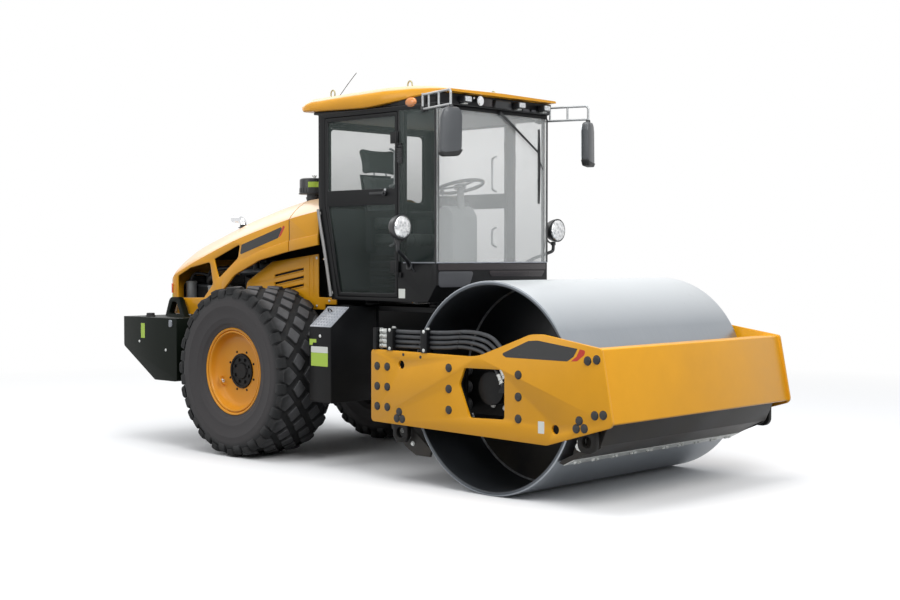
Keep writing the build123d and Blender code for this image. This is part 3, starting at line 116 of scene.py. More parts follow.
class Finish:
    """A material, its constant sockets, and the nodes that vary it over a surface."""

    def __init__(self, name, **constants):
        self.material = bpy.data.materials.new(name)
        self.material.use_nodes = True
        self.tree = self.material.node_tree
        self.shader = self.tree.nodes["Principled BSDF"]
        for socket, value in constants.items():
            self.shader.inputs[socket.replace("_", " ")].default_value = value
        self.where = self.node("ShaderNodeTexCoord", {}, {}, "Object")
        self.x, self.y, self.z = (self.node("ShaderNodeSeparateXYZ", {}, {0: self.where}, i) for i in "XYZ")

    def node(self, kind, settings, sockets, out=0):
        """One node: its settings first, then the numbers or links of its sockets."""
        node = self.tree.nodes.new(kind)
        for name, value in settings.items():
            setattr(node, name, value)
        for name, value in sockets.items():
            if isinstance(value, Socket):
                self.tree.links.new(value.output, node.inputs[name])
            else:
                wide = isinstance(value, tuple) and len(node.inputs[name].default_value) > len(value)
                node.inputs[name].default_value = (*value, 1.0) if wide else value
        return Socket(self, node.outputs[out])

    def stretched(self, x, y, z):
        """The place on the surface, stretched along the three axes."""
        return self.node("ShaderNodeVectorMath", {"operation": "MULTIPLY"}, {0: self.where, 1: (x, y, z)})

    def noise(self, scale, detail=3.0, rough=0.55, where=None):
        """Clouds from 0 to 1, finer as the scale grows."""
        sockets = {"Vector": where or self.where, "Scale": scale, "Detail": detail, "Roughness": rough}
        return self.node("ShaderNodeTexNoise", {}, sockets)

    def cells(self, scale, feature="F1", where=None):
        """Cells from 0 to 1, as in hammered or zinc-plated metal."""
        return self.node("ShaderNodeTexVoronoi", {"feature": feature},
                         {"Vector": where or self.where, "Scale": scale})

    def mix(self, share, first, second, way="MIX"):
        """One colour over another, by a share from 0 to 1."""
        return self.node("ShaderNodeMix", {"data_type": "RGBA", "blend_type": way},
                         {0: share, 6: first, 7: second}, 2)

    def raise_by(self, height, distance, strength=1.0):
        """Relief on the surface, its height given in parts of a distance in metres."""
        bump = self.node("ShaderNodeBump", {}, {"Height": height, "Distance": distance,
            "Strength": strength})
        self.feed(Normal=bump)

    def feed(self, **links):
        """Links into the shader, named as its sockets with underscores for spaces."""
        for name, value in links.items():
            self.tree.links.new(value.output, self.shader.inputs[name.replace("_", " ")])


def enamel(name, colour, gloss=0.34, dust=0.5, dust_top=1.1, peel=1.0, shine=0.45, level=0.5):
    """Sprayed enamel: a little orange peel, uneven gloss, grime low down and faint rubbed streaks."""
    coat = Finish(name, Coat_Roughness=0.12, Coat_IOR=1.45, Specular_IOR_Level=level)
    cloud = coat.noise(2.3, 5.0, 0.6)
    speck = coat.noise(190.0, 2.0)
    streak = coat.noise(9.0, 4.0, 0.7, coat.stretched(1.0, 1.0, 0.12))
    low = ((dust_top - coat.z) / dust_top).held()
    grime = (low * (cloud * 2.2 - 0.55).held() * dust + (streak.over(0.62, 0.16) * 0.1 * dust)).held()
    worn = coat.noise(34.0, 6.0, 0.72).over(0.715, 0.03) * low.over(0.15, 0.4) * min(1.0, dust)
    deep, pale = tuple(c * 0.93 for c in colour), tuple(min(1.0, c * 1.03 + 0.001) for c in colour)
    paint = coat.mix(cloud.over(0.3, 0.4), deep, pale)
    paint = coat.mix(grime, paint, tint("6E6453"))
    paint = coat.mix(worn * 0.6, paint, tint("4A4640"))
    coat.feed(Base_Color=paint, Roughness=(gloss + (cloud - 0.5) * 0.12 + grime * 0.45 + speck
        * 0.04).held())
    coat.feed(Coat_Weight=(shine - grime * 0.9 - worn * 0.4).held())
    coat.raise_by(speck * 0.5 + coat.noise(52.0, 2.0) * 0.5, 0.0006 * peel, 0.5)
    return coat


def mesh_of(bm):
    """A finished mesh from a working one, its faces turned outwards."""
    bmesh.ops.recalc_face_normals(bm, faces=bm.faces)
    mesh = bpy.data.meshes.new("form")
    bm.to_mesh(mesh)
    bm.free()
    return mesh


def piece(name, form, finish, body, smooth=32, stands_for=()):
    """A piece of the machine, from a mesh or rows of them: shaded, finished, and riding on a body."""
    mesh = gathered(form) if isinstance(form, list) else form
    mesh.materials.clear()
    mesh.materials.append(finish.material)
    mesh.shade_smooth()
    mesh.set_sharp_from_angle(angle=radians(smooth))
    obj = bpy.data.objects.new(name, mesh)
    bpy.context.scene.collection.objects.link(obj)
    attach(obj, body)
    if stands_for:
        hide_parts(*stands_for)
    return obj


def bevelled(mesh, width, angle=30, steps=2):
    """The same mesh with its sharp edges rounded."""
    bm = bmesh.new()
    bm.from_mesh(mesh)
    bmesh.ops.remove_doubles(bm, verts=bm.verts, dist=0.00005)
    bmesh.ops.dissolve_limit(bm, angle_limit=radians(0.4), verts=bm.verts, edges=bm.edges)
    sharp = [e for e in bm.edges if len(e.link_faces) == 2 and e.calc_face_angle(0) > radians(angle)]
    bmesh.ops.bevel(bm, geom=sharp, offset=width, segments=steps, profile=0.5, affect="EDGES",
                    clamp_overlap=True)
    return mesh_of(bm)


def softened(node, finish, width=0.003, smooth=32, angle=30):
    """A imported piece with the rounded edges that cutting, casting and paint leave on it."""
    mesh = bevelled(frame["nodes"][node].data, width, angle)
    return piece(node + "_dressed", mesh, finish, body_of(node), smooth, (node,))


def body_of(node):
    """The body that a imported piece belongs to."""
    return next(body for body, nodes in frame["record"]["behaviour"]["bodies"].items() if node in nodes)


yellow = enamel("yellow_enamel", tint("E9A416"), gloss=0.32, dust=0.14, level=0.3, shine=0.16)


def drawn_in(obj):
    """The frame's outer faces lie under the bolt caps, which are the machine's widest points."""
    for vert in obj.data.vertices:
        if abs(vert.co.y) > PLATE_Y:
            vert.co.y -= copysign(CAP_RISE, vert.co.y)


drawn_in(softened("side_plates", yellow, 0.004))


# -------------------------------------------------------------------- bolts of the side plates
# Domed black caps over M30 bolts: columns that hold the brackets of the drum and the beam behind it,
# pairs that hold the front beam, and threes that hold the scrapers. Each cap sits on a thin washer.
BOLTS = (                    # x, z
    (-1.081, 0.873), (-1.081, 0.721), (-1.081, 0.569), (-0.972, 0.873), (-0.972, 0.721), (-0.972, 0.569),
    (-0.334, 0.898), (-0.334, 0.746), (-0.334, 0.594), (0.327, 0.885), (0.327, 0.733), (0.327, 0.581),
    (0.93, 1.012), (1.005, 1.023), (0.99, 0.654), (1.06, 0.662),
    (0.861, 0.61), (0.836, 0.555), (0.903, 0.561), (-0.844, 0.541), (-0.87, 0.491), (-0.812, 0.491),
)


def turned(rows, steps=40, closed=False):
    """A form turned about Z, from rows of (radius, height)."""
    bm = bmesh.new()
    rings = []
    for radius, height in rows:
        if radius < 1e-6:
            rings.append([bm.verts.new((0, 0, height))])
            continue
        turns = [2 * pi * i / steps for i in range(steps)]
        rings.append([bm.verts.new((radius * cos(t), radius * sin(t), height)) for t in turns])
    for lower, upper in list(zip(rings, rings[1:])) + ([(rings[-1], rings[0])] if closed else []):
        for i in range(steps):
            j = (i + 1) % steps
            corners = [lower[i % len(lower)], lower[j % len(lower)], upper[j % len(upper)],
                       upper[i % len(upper)]]
            corners = list(dict.fromkeys(corners))
            if len(corners) > 2:
                bm.faces.new(corners)
    return mesh_of(bm)


def lathed(rows, steps):
    """A solid form turned about Z, closed on its axis by two flat ends."""
    return turned([(0.0, rows[0][1]), *rows, (0.0, rows[-1][1])], steps)


def here(x, y, z):
    """The matrix that stands a form on a place given from the drum's axle."""
    return Matrix.Translation(at(x, y, z))


def facing(place, direction, spin=0.0):
    """The matrix that stands a form on a place, with its Z along a direction."""
    turn = Vector(direction).to_track_quat("Z", "Y").to_matrix().to_4x4()
    return Matrix.Translation(place) @ turn @ Matrix.Rotation(spin, 4, "Z")


def gathered(rows):
    """One mesh from rows of meshes, or of a mesh and its matrix."""
    bm = bmesh.new()
    for row in rows:
        mesh, matrix = row if isinstance(row, tuple) else (row, Matrix())
        before = len(bm.verts)
        bm.from_mesh(mesh)
        bm.verts.ensure_lookup_table()
        bmesh.ops.transform(bm, matrix=matrix, verts=bm.verts[before:])
    return mesh_of(bm)


def dome(radius, height):
    """A domed cap on a washer."""
    rows = [(radius * 1.16, 0.0), (radius * 1.16, height * 0.12), (radius * 1.02, height * 0.14)]
    rows += [(radius * cos(radians(a)), height * (0.3 + 0.7 * sin(radians(a)))) for a in (0, 25, 45, 62, 77)]
    return turned(rows + [(0.0, height)], 28)


def hexagon(across, height):
    """A hexagon head with a chamfered top on a round washer."""
    radius = across / 2 / cos(pi / 6)
    washer = lathed([(radius * 1.3, 0.0), (radius * 1.3, height * 0.2)], 24)
    head = turned([(radius, height * 0.2), (radius, height * 0.9), (radius * 0.86, height), (0.0, height)],
                  6)
    return gathered([washer, head])


def both_sides(rows):
    """Places given for the left side as (x, y, z), with their twins on the right."""
    return [(at(x, s * y, z), (0, s, 0)) for x, y, z in rows for s in (-1, 1)]


def standing(form, rows):
    """Rows of a form on places of the left side and their twins, pointing outwards."""
    return [(form, facing(place, out)) for place, out in both_sides(rows)]


black_rubber = Finish("black_rubber", Roughness=0.6)
grain = black_rubber.noise(420.0)
film = black_rubber.noise(11.0, 4.0, 0.65)
black_rubber.feed(Base_Color=black_rubber.mix(film.over(0.45, 0.35) * 0.5, tint("17181A"), tint("3A3B3B")))
black_rubber.feed(Roughness=(0.42 + film * 0.3).held())
black_rubber.raise_by(grain, 0.0004, 0.5)

rows = standing(dome(0.027, CAP_RISE), [(x, PLATE_Y, z) for x, z in BOLTS])
piece("side_plate_caps", rows, black_rubber, "front_frame")


# -------------------------------------------------------------------- stripes and labels of the side plates
# A stuck-on foil under each top edge, black with a red end and left bare, and a small blank white label
# in front of the drum's centre. The foils are thin, lie flat on the paint and have square-cut edges.


def oblong(a, b, c, d, corner):
    """A rectangle from one corner to the opposite one, as rows of (a, b, corner radius)."""
    return [(a, b, corner), (c, b, corner), (c, d, corner), (a, d, corner)]


STRIPE_BLACK = ((0.17, 1.023, 0.01), (0.213, 1.001, 0.01), (0.758, 1.0, 0.0), (0.812, 1.034, 0.0),
                (0.845, 1.088, 0.0), (0.497, 1.13, 0.12), (0.416, 1.123, 0.05))        # x, z, corner radius
STRIPE_RED = ((0.79, 1.002, 0.0), (0.842, 1.005, 0.03), (0.905, 1.051, 0.03), (0.909, 1.079, 0.01),
              (0.864, 1.086, 0.0), (0.836, 1.036, 0.0))
LABEL = oblong(0.505, 0.497, 0.56, 0.58, 0.004)


def cornered(rows):
    """The points of a closed outline whose corners are rounded, from rows of (a, b, corner radius)."""
    points = []
    count = len(rows)
    for i, (a, b, radius) in enumerate(rows):
        corner = Vector((a, b))
        back = Vector(rows[i - 1][:2]) - corner
        ahead = Vector(rows[(i + 1) % count][:2]) - corner
        if radius <= 0:
            points.append(corner)
            continue
        half = back.angle(ahead) / 2
        run = min(radius / tan(half), back.length * 0.49, ahead.length * 0.49)
        middle = corner + (back.normalized() + ahead.normalized()).normalized() * run / cos(half)
        start, end = corner + back.normalized() * run - middle, corner + ahead.normalized() * run - middle
        steps = max(2, round(abs(start.angle_signed(end)) / radians(9)))
        turn = -start.angle_signed(end)
        for k in range(steps + 1):
            c, s = cos(turn * k / steps), sin(turn * k / steps)
            points.append(middle + Vector((start.x * c - start.y * s, start.x * s + start.y * c)))
    return points


def plate(rows, low, high, holes=(), edge=0.0, lie="xz"):
    """A flat plate: its outline and holes in one plane, its two faces at low and high in either order."""
    curve = bpy.data.curves.new("outline", "CURVE")
    curve.dimensions, curve.fill_mode = "2D", "BOTH"
    curve.extrude = max(1e-5, abs(high - low) / 2 - edge)
    curve.bevel_depth, curve.bevel_resolution, curve.offset = edge, 1, -edge
    for ring in (rows, *holes):
        points = cornered(ring)
        spline = curve.splines.new("POLY")
        spline.points.add(len(points) - 1)
        for point, (a, b) in zip(spline.points, points):
            point.co = (a, b, 0, 1)
        spline.use_cyclic_u = True
    holder = bpy.data.objects.new("outline", curve)
    bm = bmesh.new()
    bm.from_mesh(bpy.data.meshes.new_from_object(holder))
    bpy.data.objects.remove(holder)
    bmesh.ops.remove_doubles(bm, verts=bm.verts, dist=1e-5)
    middle = (low + high) / 2
    for vert in bm.verts:
        a, b, h = vert.co
        places = {"xz": (a, middle + h, b), "yz": (middle + h, a, b), "xy": (a, b, middle + h)}
        vert.co = places[lie]
    return mesh_of(bm)


def from_drum(rows):
    """Rows of (x, z, corner radius) given from the drum's axle, in the machine's frame."""
    return [(DRUM_X + x, z, r) for x, z, r in rows]


def sheet(rows, low, high, edge=0.0):
    """An upright plate along the machine: its outline from the drum's axle, its faces at low and high."""
    return plate(from_drum(rows), low, high, (), edge)


def on_both(form):
    """A form of the left side together with its twin on the right."""
    return gathered([form, (form, Matrix.Scale(-1, 4, (0, 1, 0)))])


def foil(name, colour):
    """Stuck-on foil: even colour, faint scuffs and a soft shine."""
    vinyl = Finish(name, Coat_Roughness=0.2)
    scuff = vinyl.noise(28.0, 6.0, 0.7, vinyl.stretched(1.0, 1.0, 2.5))
    vinyl.feed(Base_Color=vinyl.mix(scuff.over(0.6, 0.2) * 0.25, colour, tint("7A766E")))
    vinyl.feed(Roughness=(0.3 + scuff * 0.25).held(), Coat_Weight=(0.35 - scuff * 0.3).held())
    vinyl.raise_by(vinyl.noise(90.0, 2.0), 0.0002, 0.3)
    return vinyl


black_foil, red_foil = foil("black_foil", tint("141516")), foil("red_foil", tint("C8321E"))
white_foil, lime_foil = foil("white_foil", tint("E6E8E2")), foil("lime_foil", tint("B4D44A"))
FOIL = 0.0006
for name, rows, finish in (("stripe", STRIPE_BLACK, black_foil), ("stripe_end", STRIPE_RED, red_foil),
                           ("plate_label", LABEL, white_foil)):
    mesh = sheet(rows, PLATE_Y - FOIL, PLATE_Y + FOIL)
    piece(name, on_both(mesh), finish, "front_frame")
plug = lathed([(0.012, 0.0), (0.012, 0.0012)], 16)
rows = standing(plug, [(-0.8, PLATE_Y - 0.0004, 0.972), (-0.62, PLATE_Y - 0.0004, 0.962)])
piece("plate_plugs", rows, black_rubber, "front_frame")


# -------------------------------------------------------------------- lining of the side window
# A folded steel guard stands inside each opening of the side plates, welded to its back. The drum's
# bearing carrier, its motor and the hoses' block are seen through it, with two bright hose fittings.
WINDOW = ((-0.181, 0.906, 0.025), (0.171, 0.911, 0.025), (0.199, 0.87, 0.025), (0.199, 0.564, 0.025),
          (-0.132, 0.552, 0.025), (-0.235, 0.785, 0.06))
black = enamel("black_enamel", tint("0D0E10"), gloss=0.42, dust=0.09, shine=0.04, level=0.16)
zinc = Finish("zinc_plate", Metallic=0.9, Roughness=0.35)
spangle = zinc.cells(160.0)
stain = zinc.noise(24.0, 5.0, 0.7)
zinc.feed(Base_Color=zinc.mix(stain.over(0.5, 0.25) * 0.6, tint("C6C8C6"), tint("6D6A62")))
zinc.feed(Roughness=(0.26 + spangle * 0.2 + stain * 0.2).held())


def outset(rows, distance):
    """Rows of an outline moved outwards from their middle."""
    middle = Vector((sum(r[0] for r in rows), sum(r[1] for r in rows))) / len(rows)
    moved = []
    for a, b, radius in rows:
        away = Vector((a, b)) - middle
        a, b = middle + away * (1 + distance / away.length)
        moved.append((a, b, radius + distance))
    return moved


guard = plate(outset(from_drum(WINDOW), 0.012), 1.092, 1.1095, [from_drum(WINDOW)], 0.001)
piece("window_guards", on_both(guard), black, "front_frame")
softened("tie_lugs", black, 0.005)
softened("rear_crossbeam", black)
softened("drum_mounts", black)

BUFFERS = [(x, 0.75 + rise) for x in (-0.33, 0.33) for rise in (-0.125, 0.0, 0.125)]        # x, z
bolt_24 = hexagon(0.03, 0.017)
rows = []
for x, z in BUFFERS:
    rows += both_sides([(x + dx, 0.9 - 0.017, z) for dx in (-0.03, 0.03)])
inward = [(bolt_24, facing(place, (0, -out[1], 0), 0.3 * i)) for i, (place, out) in enumerate(rows)]
around = [(0.15 * cos(radians(a)), 0.935, 0.765 + 0.15 * sin(radians(a))) for a in range(15, 375, 45)]
outward = [(bolt_24, facing(place, out, 0.2 * i)) for i, (place, out) in enumerate(both_sides(around))]
piece("carrier_bolts", inward + outward, zinc, "front_frame")

buffer = lathed([(0.046, 0.0), (0.049, 0.006), (0.044, 0.012), (0.042, 0.02), (0.047, 0.0275),
                 (0.042, 0.035), (0.044, 0.043), (0.049, 0.049), (0.046, 0.055)], 32)
rows = standing(buffer, [(x, 0.93, z) for x, z in BUFFERS])
piece("buffer_rubbers", rows, black_rubber, "front_frame", 40, ("drum_buffers",))


# ==================================================================== front beam
# A folded steel trough welded between the side plates, its raked face bare and its top flange bent back.
# Four drain holes and the welds at its ends show from below; it has the side plates' enamel.
drawn_in(softened("front_beam", yellow, 0.006))


def tube(points, radius, order=3, sides=6, closed=False, steps=10):
    """A round bar or hose along the smooth line of its control points."""
    curve = bpy.data.curves.new("line", "CURVE")
    curve.dimensions, curve.bevel_depth, curve.bevel_resolution = "3D", radius, sides
    curve.use_fill_caps, curve.resolution_u = True, steps
    spline = curve.splines.new("NURBS" if order > 2 else "POLY")
    spline.points.add(len(points) - 1)
    for point, place in zip(spline.points, points):
        point.co = (*place, 1)
    spline.use_cyclic_u = closed
    if order > 2:
        spline.order_u, spline.use_endpoint_u = order, not closed
    holder = bpy.data.objects.new("line", curve)
    mesh = bpy.data.meshes.new_from_object(holder)
    bpy.data.objects.remove(holder)
    return mesh


rows = []
for side in (-1, 1):
    y = side * 1.1085
    seam = [at(0.915, y, 1.0895), at(1.022, y, 1.0885), at(1.034, y, 1.06), at(1.118, y, 0.612),
            at(1.112, y, 0.597), at(0.905, y, 0.5965)]
    rows.append(tube(seam, 0.006, 2, 3))
piece("beam_welds", rows, yellow, "front_frame", 60)
hole = plate(oblong(DRUM_X, -0.02, DRUM_X + 0.04, 0.02, 0.019), 0.5942, 0.595, lie="xy")
rows = [(hole, Matrix.Translation((1.0, y, 0))) for y in (-0.75, -0.25, 0.25, 0.75)]
piece("beam_drains", rows, black_rubber, "front_frame")


# ==================================================================== drum
# A rolled and welded steel shell, 32 mm thick, turned bright by the soil; its inside is painted dark, its
# end faces are bare, and a dished head with a bearing hub is welded deep inside each end.
DRUM_RADIUS, DRUM_HALF, DRUM_WALL = 0.765, 1.065, 0.032


def about_axle(finish, x, z):
    """Distance from a crosswise axle, and the turn around it."""
    ahead, above = finish.x - x, finish.z - z
    return (ahead * ahead + above * above) ** 0.5, above.math("ARCTAN2", above, ahead)


steel = Finish("rolled_steel", Specular_IOR_Level=0.6)
radius, turn = about_axle(steel, DRUM_X, DRUM_RADIUS)
round_lines = steel.node("ShaderNodeCombineXYZ", {}, {0: steel.y * 150, 1: turn * 1.4, 2: radius * 9})
lines = steel.noise(1.0, 3.0, 0.6, round_lines)
patch = steel.noise(1.9, 5.0, 0.62)
scratch = steel.noise(1.0, 5.0, 0.7, steel.node("ShaderNodeCombineXYZ", {},
    {0: steel.y * 9, 1: turn * 22, 2: 0.0}))
soil = steel.noise(7.0, 6.0, 0.7).over(0.6, 0.18) * steel.y.math("ABSOLUTE", steel.y).over(0.7, 0.5)
# Painted highlight: where the shell faces up, its colour is lifted towards near-white, standing in for the
# bright sky reflected on the drum's top.
painted_top_highlight = steel.node("ShaderNodeSeparateXYZ", {}, {0: steel.node("ShaderNodeNewGeometry", {}, {}, "Normal")},
                    "Z")
bare = steel.mix(lines * 0.5 + patch * 0.5, tint("8F959B"), tint("A9AEB4"))
bare = steel.mix(painted_top_highlight.over(0.55, 0.45) * 0.85, bare, tint("F2F6F8"))
bare = steel.mix(scratch.over(0.66, 0.08) * 0.5, bare, tint("74777A"))
bare = steel.mix(soil * 0.4, bare, tint("857B6B"))
inside = (1 - radius.over(DRUM_RADIUS - DRUM_WALL + 0.002, 0.003)).held()
edge = steel.y.math("ABSOLUTE", steel.y).over(DRUM_HALF - 0.004, 0.002)
bare = steel.mix(edge * (0.9 - radius.over(DRUM_RADIUS - 0.014, 0.005) * 0.75), bare, tint("44484D"))
steel.feed(Base_Color=steel.mix(inside, bare, steel.mix(patch, tint("14171A"), tint("22262B"))))
steel.feed(Metallic=(1 - inside) * (0.86 - soil * 0.5 - scratch.over(0.66, 0.08) * 0.2))
steel.feed(Roughness=(0.31 + lines * 0.12 + (patch - 0.5) * 0.16 + soil * 0.3 + inside * 0.18).held())
steel.raise_by(lines * 0.5 + scratch * 0.5, 0.0005, 0.45)


def axled(mesh, x, z):
    """A form turned about Z, laid along the machine's width on an axle."""
    mesh.transform(facing((x, 0, z), (0, 1, 0)))
    return mesh


lip = 0.005
inner = DRUM_RADIUS - DRUM_WALL
shell = [(inner, lip - DRUM_HALF), (inner + lip, -DRUM_HALF), (DRUM_RADIUS - 2 * lip, -DRUM_HALF),
         (DRUM_RADIUS - lip / 2, -DRUM_HALF + lip), (DRUM_RADIUS, -DRUM_HALF + 3 * lip), (DRUM_RADIUS, -0.6),
         (DRUM_RADIUS, 0.0), (DRUM_RADIUS, 0.6), (DRUM_RADIUS, DRUM_HALF - 3 * lip),
         (DRUM_RADIUS - lip / 2, DRUM_HALF - lip), (DRUM_RADIUS - 2 * lip, DRUM_HALF),
         (inner + lip, DRUM_HALF), (inner, DRUM_HALF - lip), (inner, 0.52), (inner, -0.52)]
piece("drum_dressed", axled(turned(shell, 200, True), DRUM_X, DRUM_RADIUS), steel, "drum", 40,
             ("drum_shell",))
dark = enamel("dark_enamel", tint("14171B"), gloss=0.45, dust=0.3, level=0.25, shine=0.1)
softened("drum_heads", dark)
bead = turned([(inner - 0.001, 0.506), (inner - 0.016, 0.5045), (inner - 0.012, 0.512),
               (inner - 0.005, 0.519)], 160, True)
weld = Finish("weld_bead", Metallic=0.6, Roughness=0.42)
ripple = weld.noise(30.0, 4.0)
weld.feed(Base_Color=weld.mix(ripple, tint("C9CCCE"), tint("5D6064")))
weld.raise_by(weld.node("ShaderNodeTexWave", {}, {"Vector": weld.where, "Scale": 55.0, "Distortion": 2.0},
                        1), 0.002, 0.7)
rows = [(bead, facing((DRUM_X, 0, DRUM_RADIUS), (0, s, 0))) for s in (-1, 1)]
piece("drum_welds", rows, weld, "drum", 50)
rows = [(hexagon(0.036, 0.022), facing((DRUM_X + 0.135 * cos(t), s * 0.575, DRUM_RADIUS + 0.135 * sin(t)),
    (0, s, 0), t)) for s in (-1, 1) for t in [2 * pi * (i + 0.5) / 12 for i in range(12)]]
piece("hub_bolts", rows, zinc, "drum")


# ==================================================================== scrapers
# Folded steel plates that hang from the beams before and behind the drum and carry a bolted blade that
# nearly touches it. The blades' bolts run in pairs; each end bracket is held by one large bolt and nut.
soot = enamel("scraper_enamel", tint("232427"), gloss=0.45, dust=0.3, level=0.25, shine=0.1)
softened("scrapers", soot, 0.002)
bolt_16, bolt_30 = hexagon(0.024, 0.014), hexagon(0.046, 0.03)
BLADE_BOLTS = [s * y for y in (0.1, 0.3, 0.52, 0.74, 0.94) for s in (-1, 1)]
rows = []
for y in BLADE_BOLTS:
    for dy in (-0.022, 0.022):
        rows.append((bolt_16, facing(at(0.69, y + dy, 0.3005), (0.444, 0, -0.896), y)))
        rows.append((bolt_16, facing(at(0.668, y + dy, 0.322), (-0.444, 0, 0.896), y)))
        rows.append((bolt_16, facing(at(-0.7, y + dy, 0.2755), (0.0, 0, 1.0), y)))
rows += standing(bolt_16, [(-0.83, 1.04, 0.345), (-0.79, 1.04, 0.3), (-0.955, 1.04, 0.43),
                           (-0.9, 1.04, 0.39)])
for place, out in both_sides([(0.815, 1.04, 0.462), (0.8, 1.04, 0.425)]):
    rows.append((bolt_30, facing(place - Vector(out) * 0.001, out)))
piece("scraper_bolts", rows, zinc, "front_frame")
SCRAPER_END = ((0.945, 0.585, 0.01), (1.0, 0.585, 0.01), (0.962, 0.425, 0.03), (0.72, 0.32, 0.03),
               (0.735, 0.41, 0.06), (0.88, 0.5, 0.03))
ends = [sheet(SCRAPER_END, place.y - 0.006, place.y + 0.006, 0.001)
        for place, out in both_sides([(0.808, 1.021, 0.444)])]
piece("scraper_ends", ends, soot, "front_frame")
strip = sheet([(0.64, 0.3, 0.001), (0.652, 0.2795, 0.001), (0.742, 0.324, 0.001), (0.739, 0.33, 0.001)],
              -1.035, 1.035, 0.0005)
piece("scraper_strip", strip, zinc, "front_frame")


# ==================================================================== hydraulic hoses of the drum
# Four rubber hoses with a woven cover run over the right side plate through two clamps, from a bulkhead
# at its rear to a steel block on the front bracket. Each ends in a crimped sleeve and a hexagon nut.
HOSE_ROUTE = ((-1.085, 1.138), (-0.47, 1.138), (-0.116, 1.172), (0.13, 1.11), (0.236, 0.905))   # x, z
HOSE_Y, HOSE_PITCH, HOSE_RADIUS = -1.089, 0.037, 0.015
hose_rubber = Finish("hose_rubber", Roughness=0.55)
braid = hose_rubber.cells(330.0)
dull = hose_rubber.noise(14.0, 5.0, 0.65)
hose_rubber.feed(Base_Color=hose_rubber.mix(dull.over(0.4, 0.35) * 0.6, tint("2C2E31"), tint("54575B")))
hose_rubber.feed(Roughness=(0.36 + dull * 0.3).held())
hose_rubber.raise_by(braid, 0.0007, 0.5)
hoses, fittings = [], []
ferrule = turned([(0.0, 0.0), (0.0175, 0.0), (0.019, 0.003), (0.019, 0.012), (0.0175, 0.015), (0.019, 0.018),
                  (0.019, 0.027), (0.0175, 0.03), (0.019, 0.033), (0.019, 0.044), (0.016, 0.048)], 24)
nut = hexagon(0.034, 0.026)
for row in range(4):
    drop = row * HOSE_PITCH
    route = [at(x - (0.75 * drop if i > 1 else 0), HOSE_Y, z - drop) for i, (x, z) in enumerate(HOSE_ROUTE)]
    hoses.append(tube(route, HOSE_RADIUS, 3, 8, steps=24))
    start, end = (route[1] - route[0]).normalized(), (route[-2] - route[-1]).normalized()
    fittings += [(ferrule, facing(route[0] + start * 0.036, start)),
                 (nut, facing(route[0] + start * 0.008, start)),
                 (ferrule, facing(route[-1] + end * 0.045, end)),
                 (nut, facing(route[-1] + end * 0.018, end))]
piece("hose_set", hoses, hose_rubber, "front_frame", 60, ("hoses",))
piece("hose_ends", fittings, zinc, "front_frame", 30)
softened("hose_clamps", black)
CLAMP_X = (-0.942, -0.584)
rows = [(bolt_16, facing(at(x, HOSE_Y - 0.002, 1.163), (0, 0, 1))) for x in CLAMP_X]
rows += [(dome(0.012, 0.007), facing(at(x, -1.137, z), (0, -1, 0))) for x in CLAMP_X for z in (1.15, 1.012)]
piece("clamp_bolts", rows, zinc, "front_frame")
band = turned([(0.0158, -0.006), (0.0176, -0.005), (0.0176, 0.005), (0.0158, 0.006)], 24, True)
rows = [(band, facing(at(-0.245 - 0.3 * HOSE_PITCH * i, HOSE_Y, 1.1525 - 0.925 * HOSE_PITCH * i),
                      (1, 0, 0.11))) for i in range(4)]
piece("hose_ties", rows, black_rubber, "front_frame")


# ==================================================================== hitch and steering cylinders
# A cast block on an upright pin between the rear frame's ears, with the oscillation shaft forward and a
# steering arm on each side; two double-acting cylinders push the arms, their rods ground and chromed.
softened("hitch", black)
chrome = Finish("chrome_plate", Metallic=1.0)
wipe = chrome.noise(3.0, 4.0, 0.6, chrome.stretched(1.0, 30.0, 30.0))
chrome.feed(Base_Color=chrome.mix(wipe.over(0.5, 0.3) * 0.5, tint("E2E3E5"), tint("A8A6A0")))
chrome.feed(Roughness=(0.06 + wipe * 0.14).held())
HITCH_X, ARM_Y, ARM_Z = -1.45, 0.35, 0.72
collar = turned([(0.027, 0.0), (0.056, 0.0), (0.058, 0.004), (0.058, 0.032), (0.054, 0.037), (0.04, 0.04),
                 (0.036, 0.052), (0.027, 0.052)], 32, True)
for name, side in NAMED_SIDES:
    barrel, shaft = "steering_barrel_" + name, "steering_rod_" + name
    softened(barrel, black, 0.0015)
    softened(shaft, chrome, 0.001)
    low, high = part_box(barrel)
    rows = [(collar, facing((high.x - 0.049, side * ARM_Y, ARM_Z), (1, 0, 0)))]
    for x in (low.x + 0.16, high.x - 0.075):
        rows.append((lathed([(0.017, 0.0), (0.017, 0.022), (0.012, 0.026), (0.012, 0.04)], 20),
                     facing((x, side * ARM_Y, ARM_Z + 0.048), (0, 0, 1))))
    piece(barrel + "_gland", rows, black, barrel, 35)
cover = lathed([(0.075, 0.0), (0.078, 0.003), (0.078, 0.014), (0.06, 0.018), (0.03, 0.018), (0.026, 0.026)],
               40)
rows = [(cover, facing(at(HITCH_X, 0, ARM_Z + s * 0.196), (0, 0, s))) for s in (-1, 1)]
rows += [(bolt_24, facing(at(HITCH_X + 0.055 * cos(t), 0.055 * sin(t), ARM_Z + s * 0.21), (0, 0, s), t))
         for s in (-1, 1) for t in (0.6, 2.2, 3.8, 5.4)]
piece("hitch_pin_covers", rows, zinc, "rear_frame", 35)
rows = [(dome(0.028, 0.016), facing(at(HITCH_X, s * ARM_Y, ARM_Z + up * 0.058), (0, 0, up))) for s in (-1, 1)
        for up in (-1, 1)]
piece("arm_pins", rows, zinc, "hitch")


# ==================================================================== rear frame and its boxes
# Welded rails with a deck over the articulation, a box under each door with a grip plate on its sloped
# top, and a cast counterweight across the tail with two lifting hoops. All of it is black enamel.
softened("chassis", black)
softened("step_boxes", black, 0.008)
tail_black = enamel("counterweight_enamel", tint("050E07"), gloss=0.44, dust=0.05, shine=0.03, level=0.13)
softened("rear_box", tail_black, 0.007)

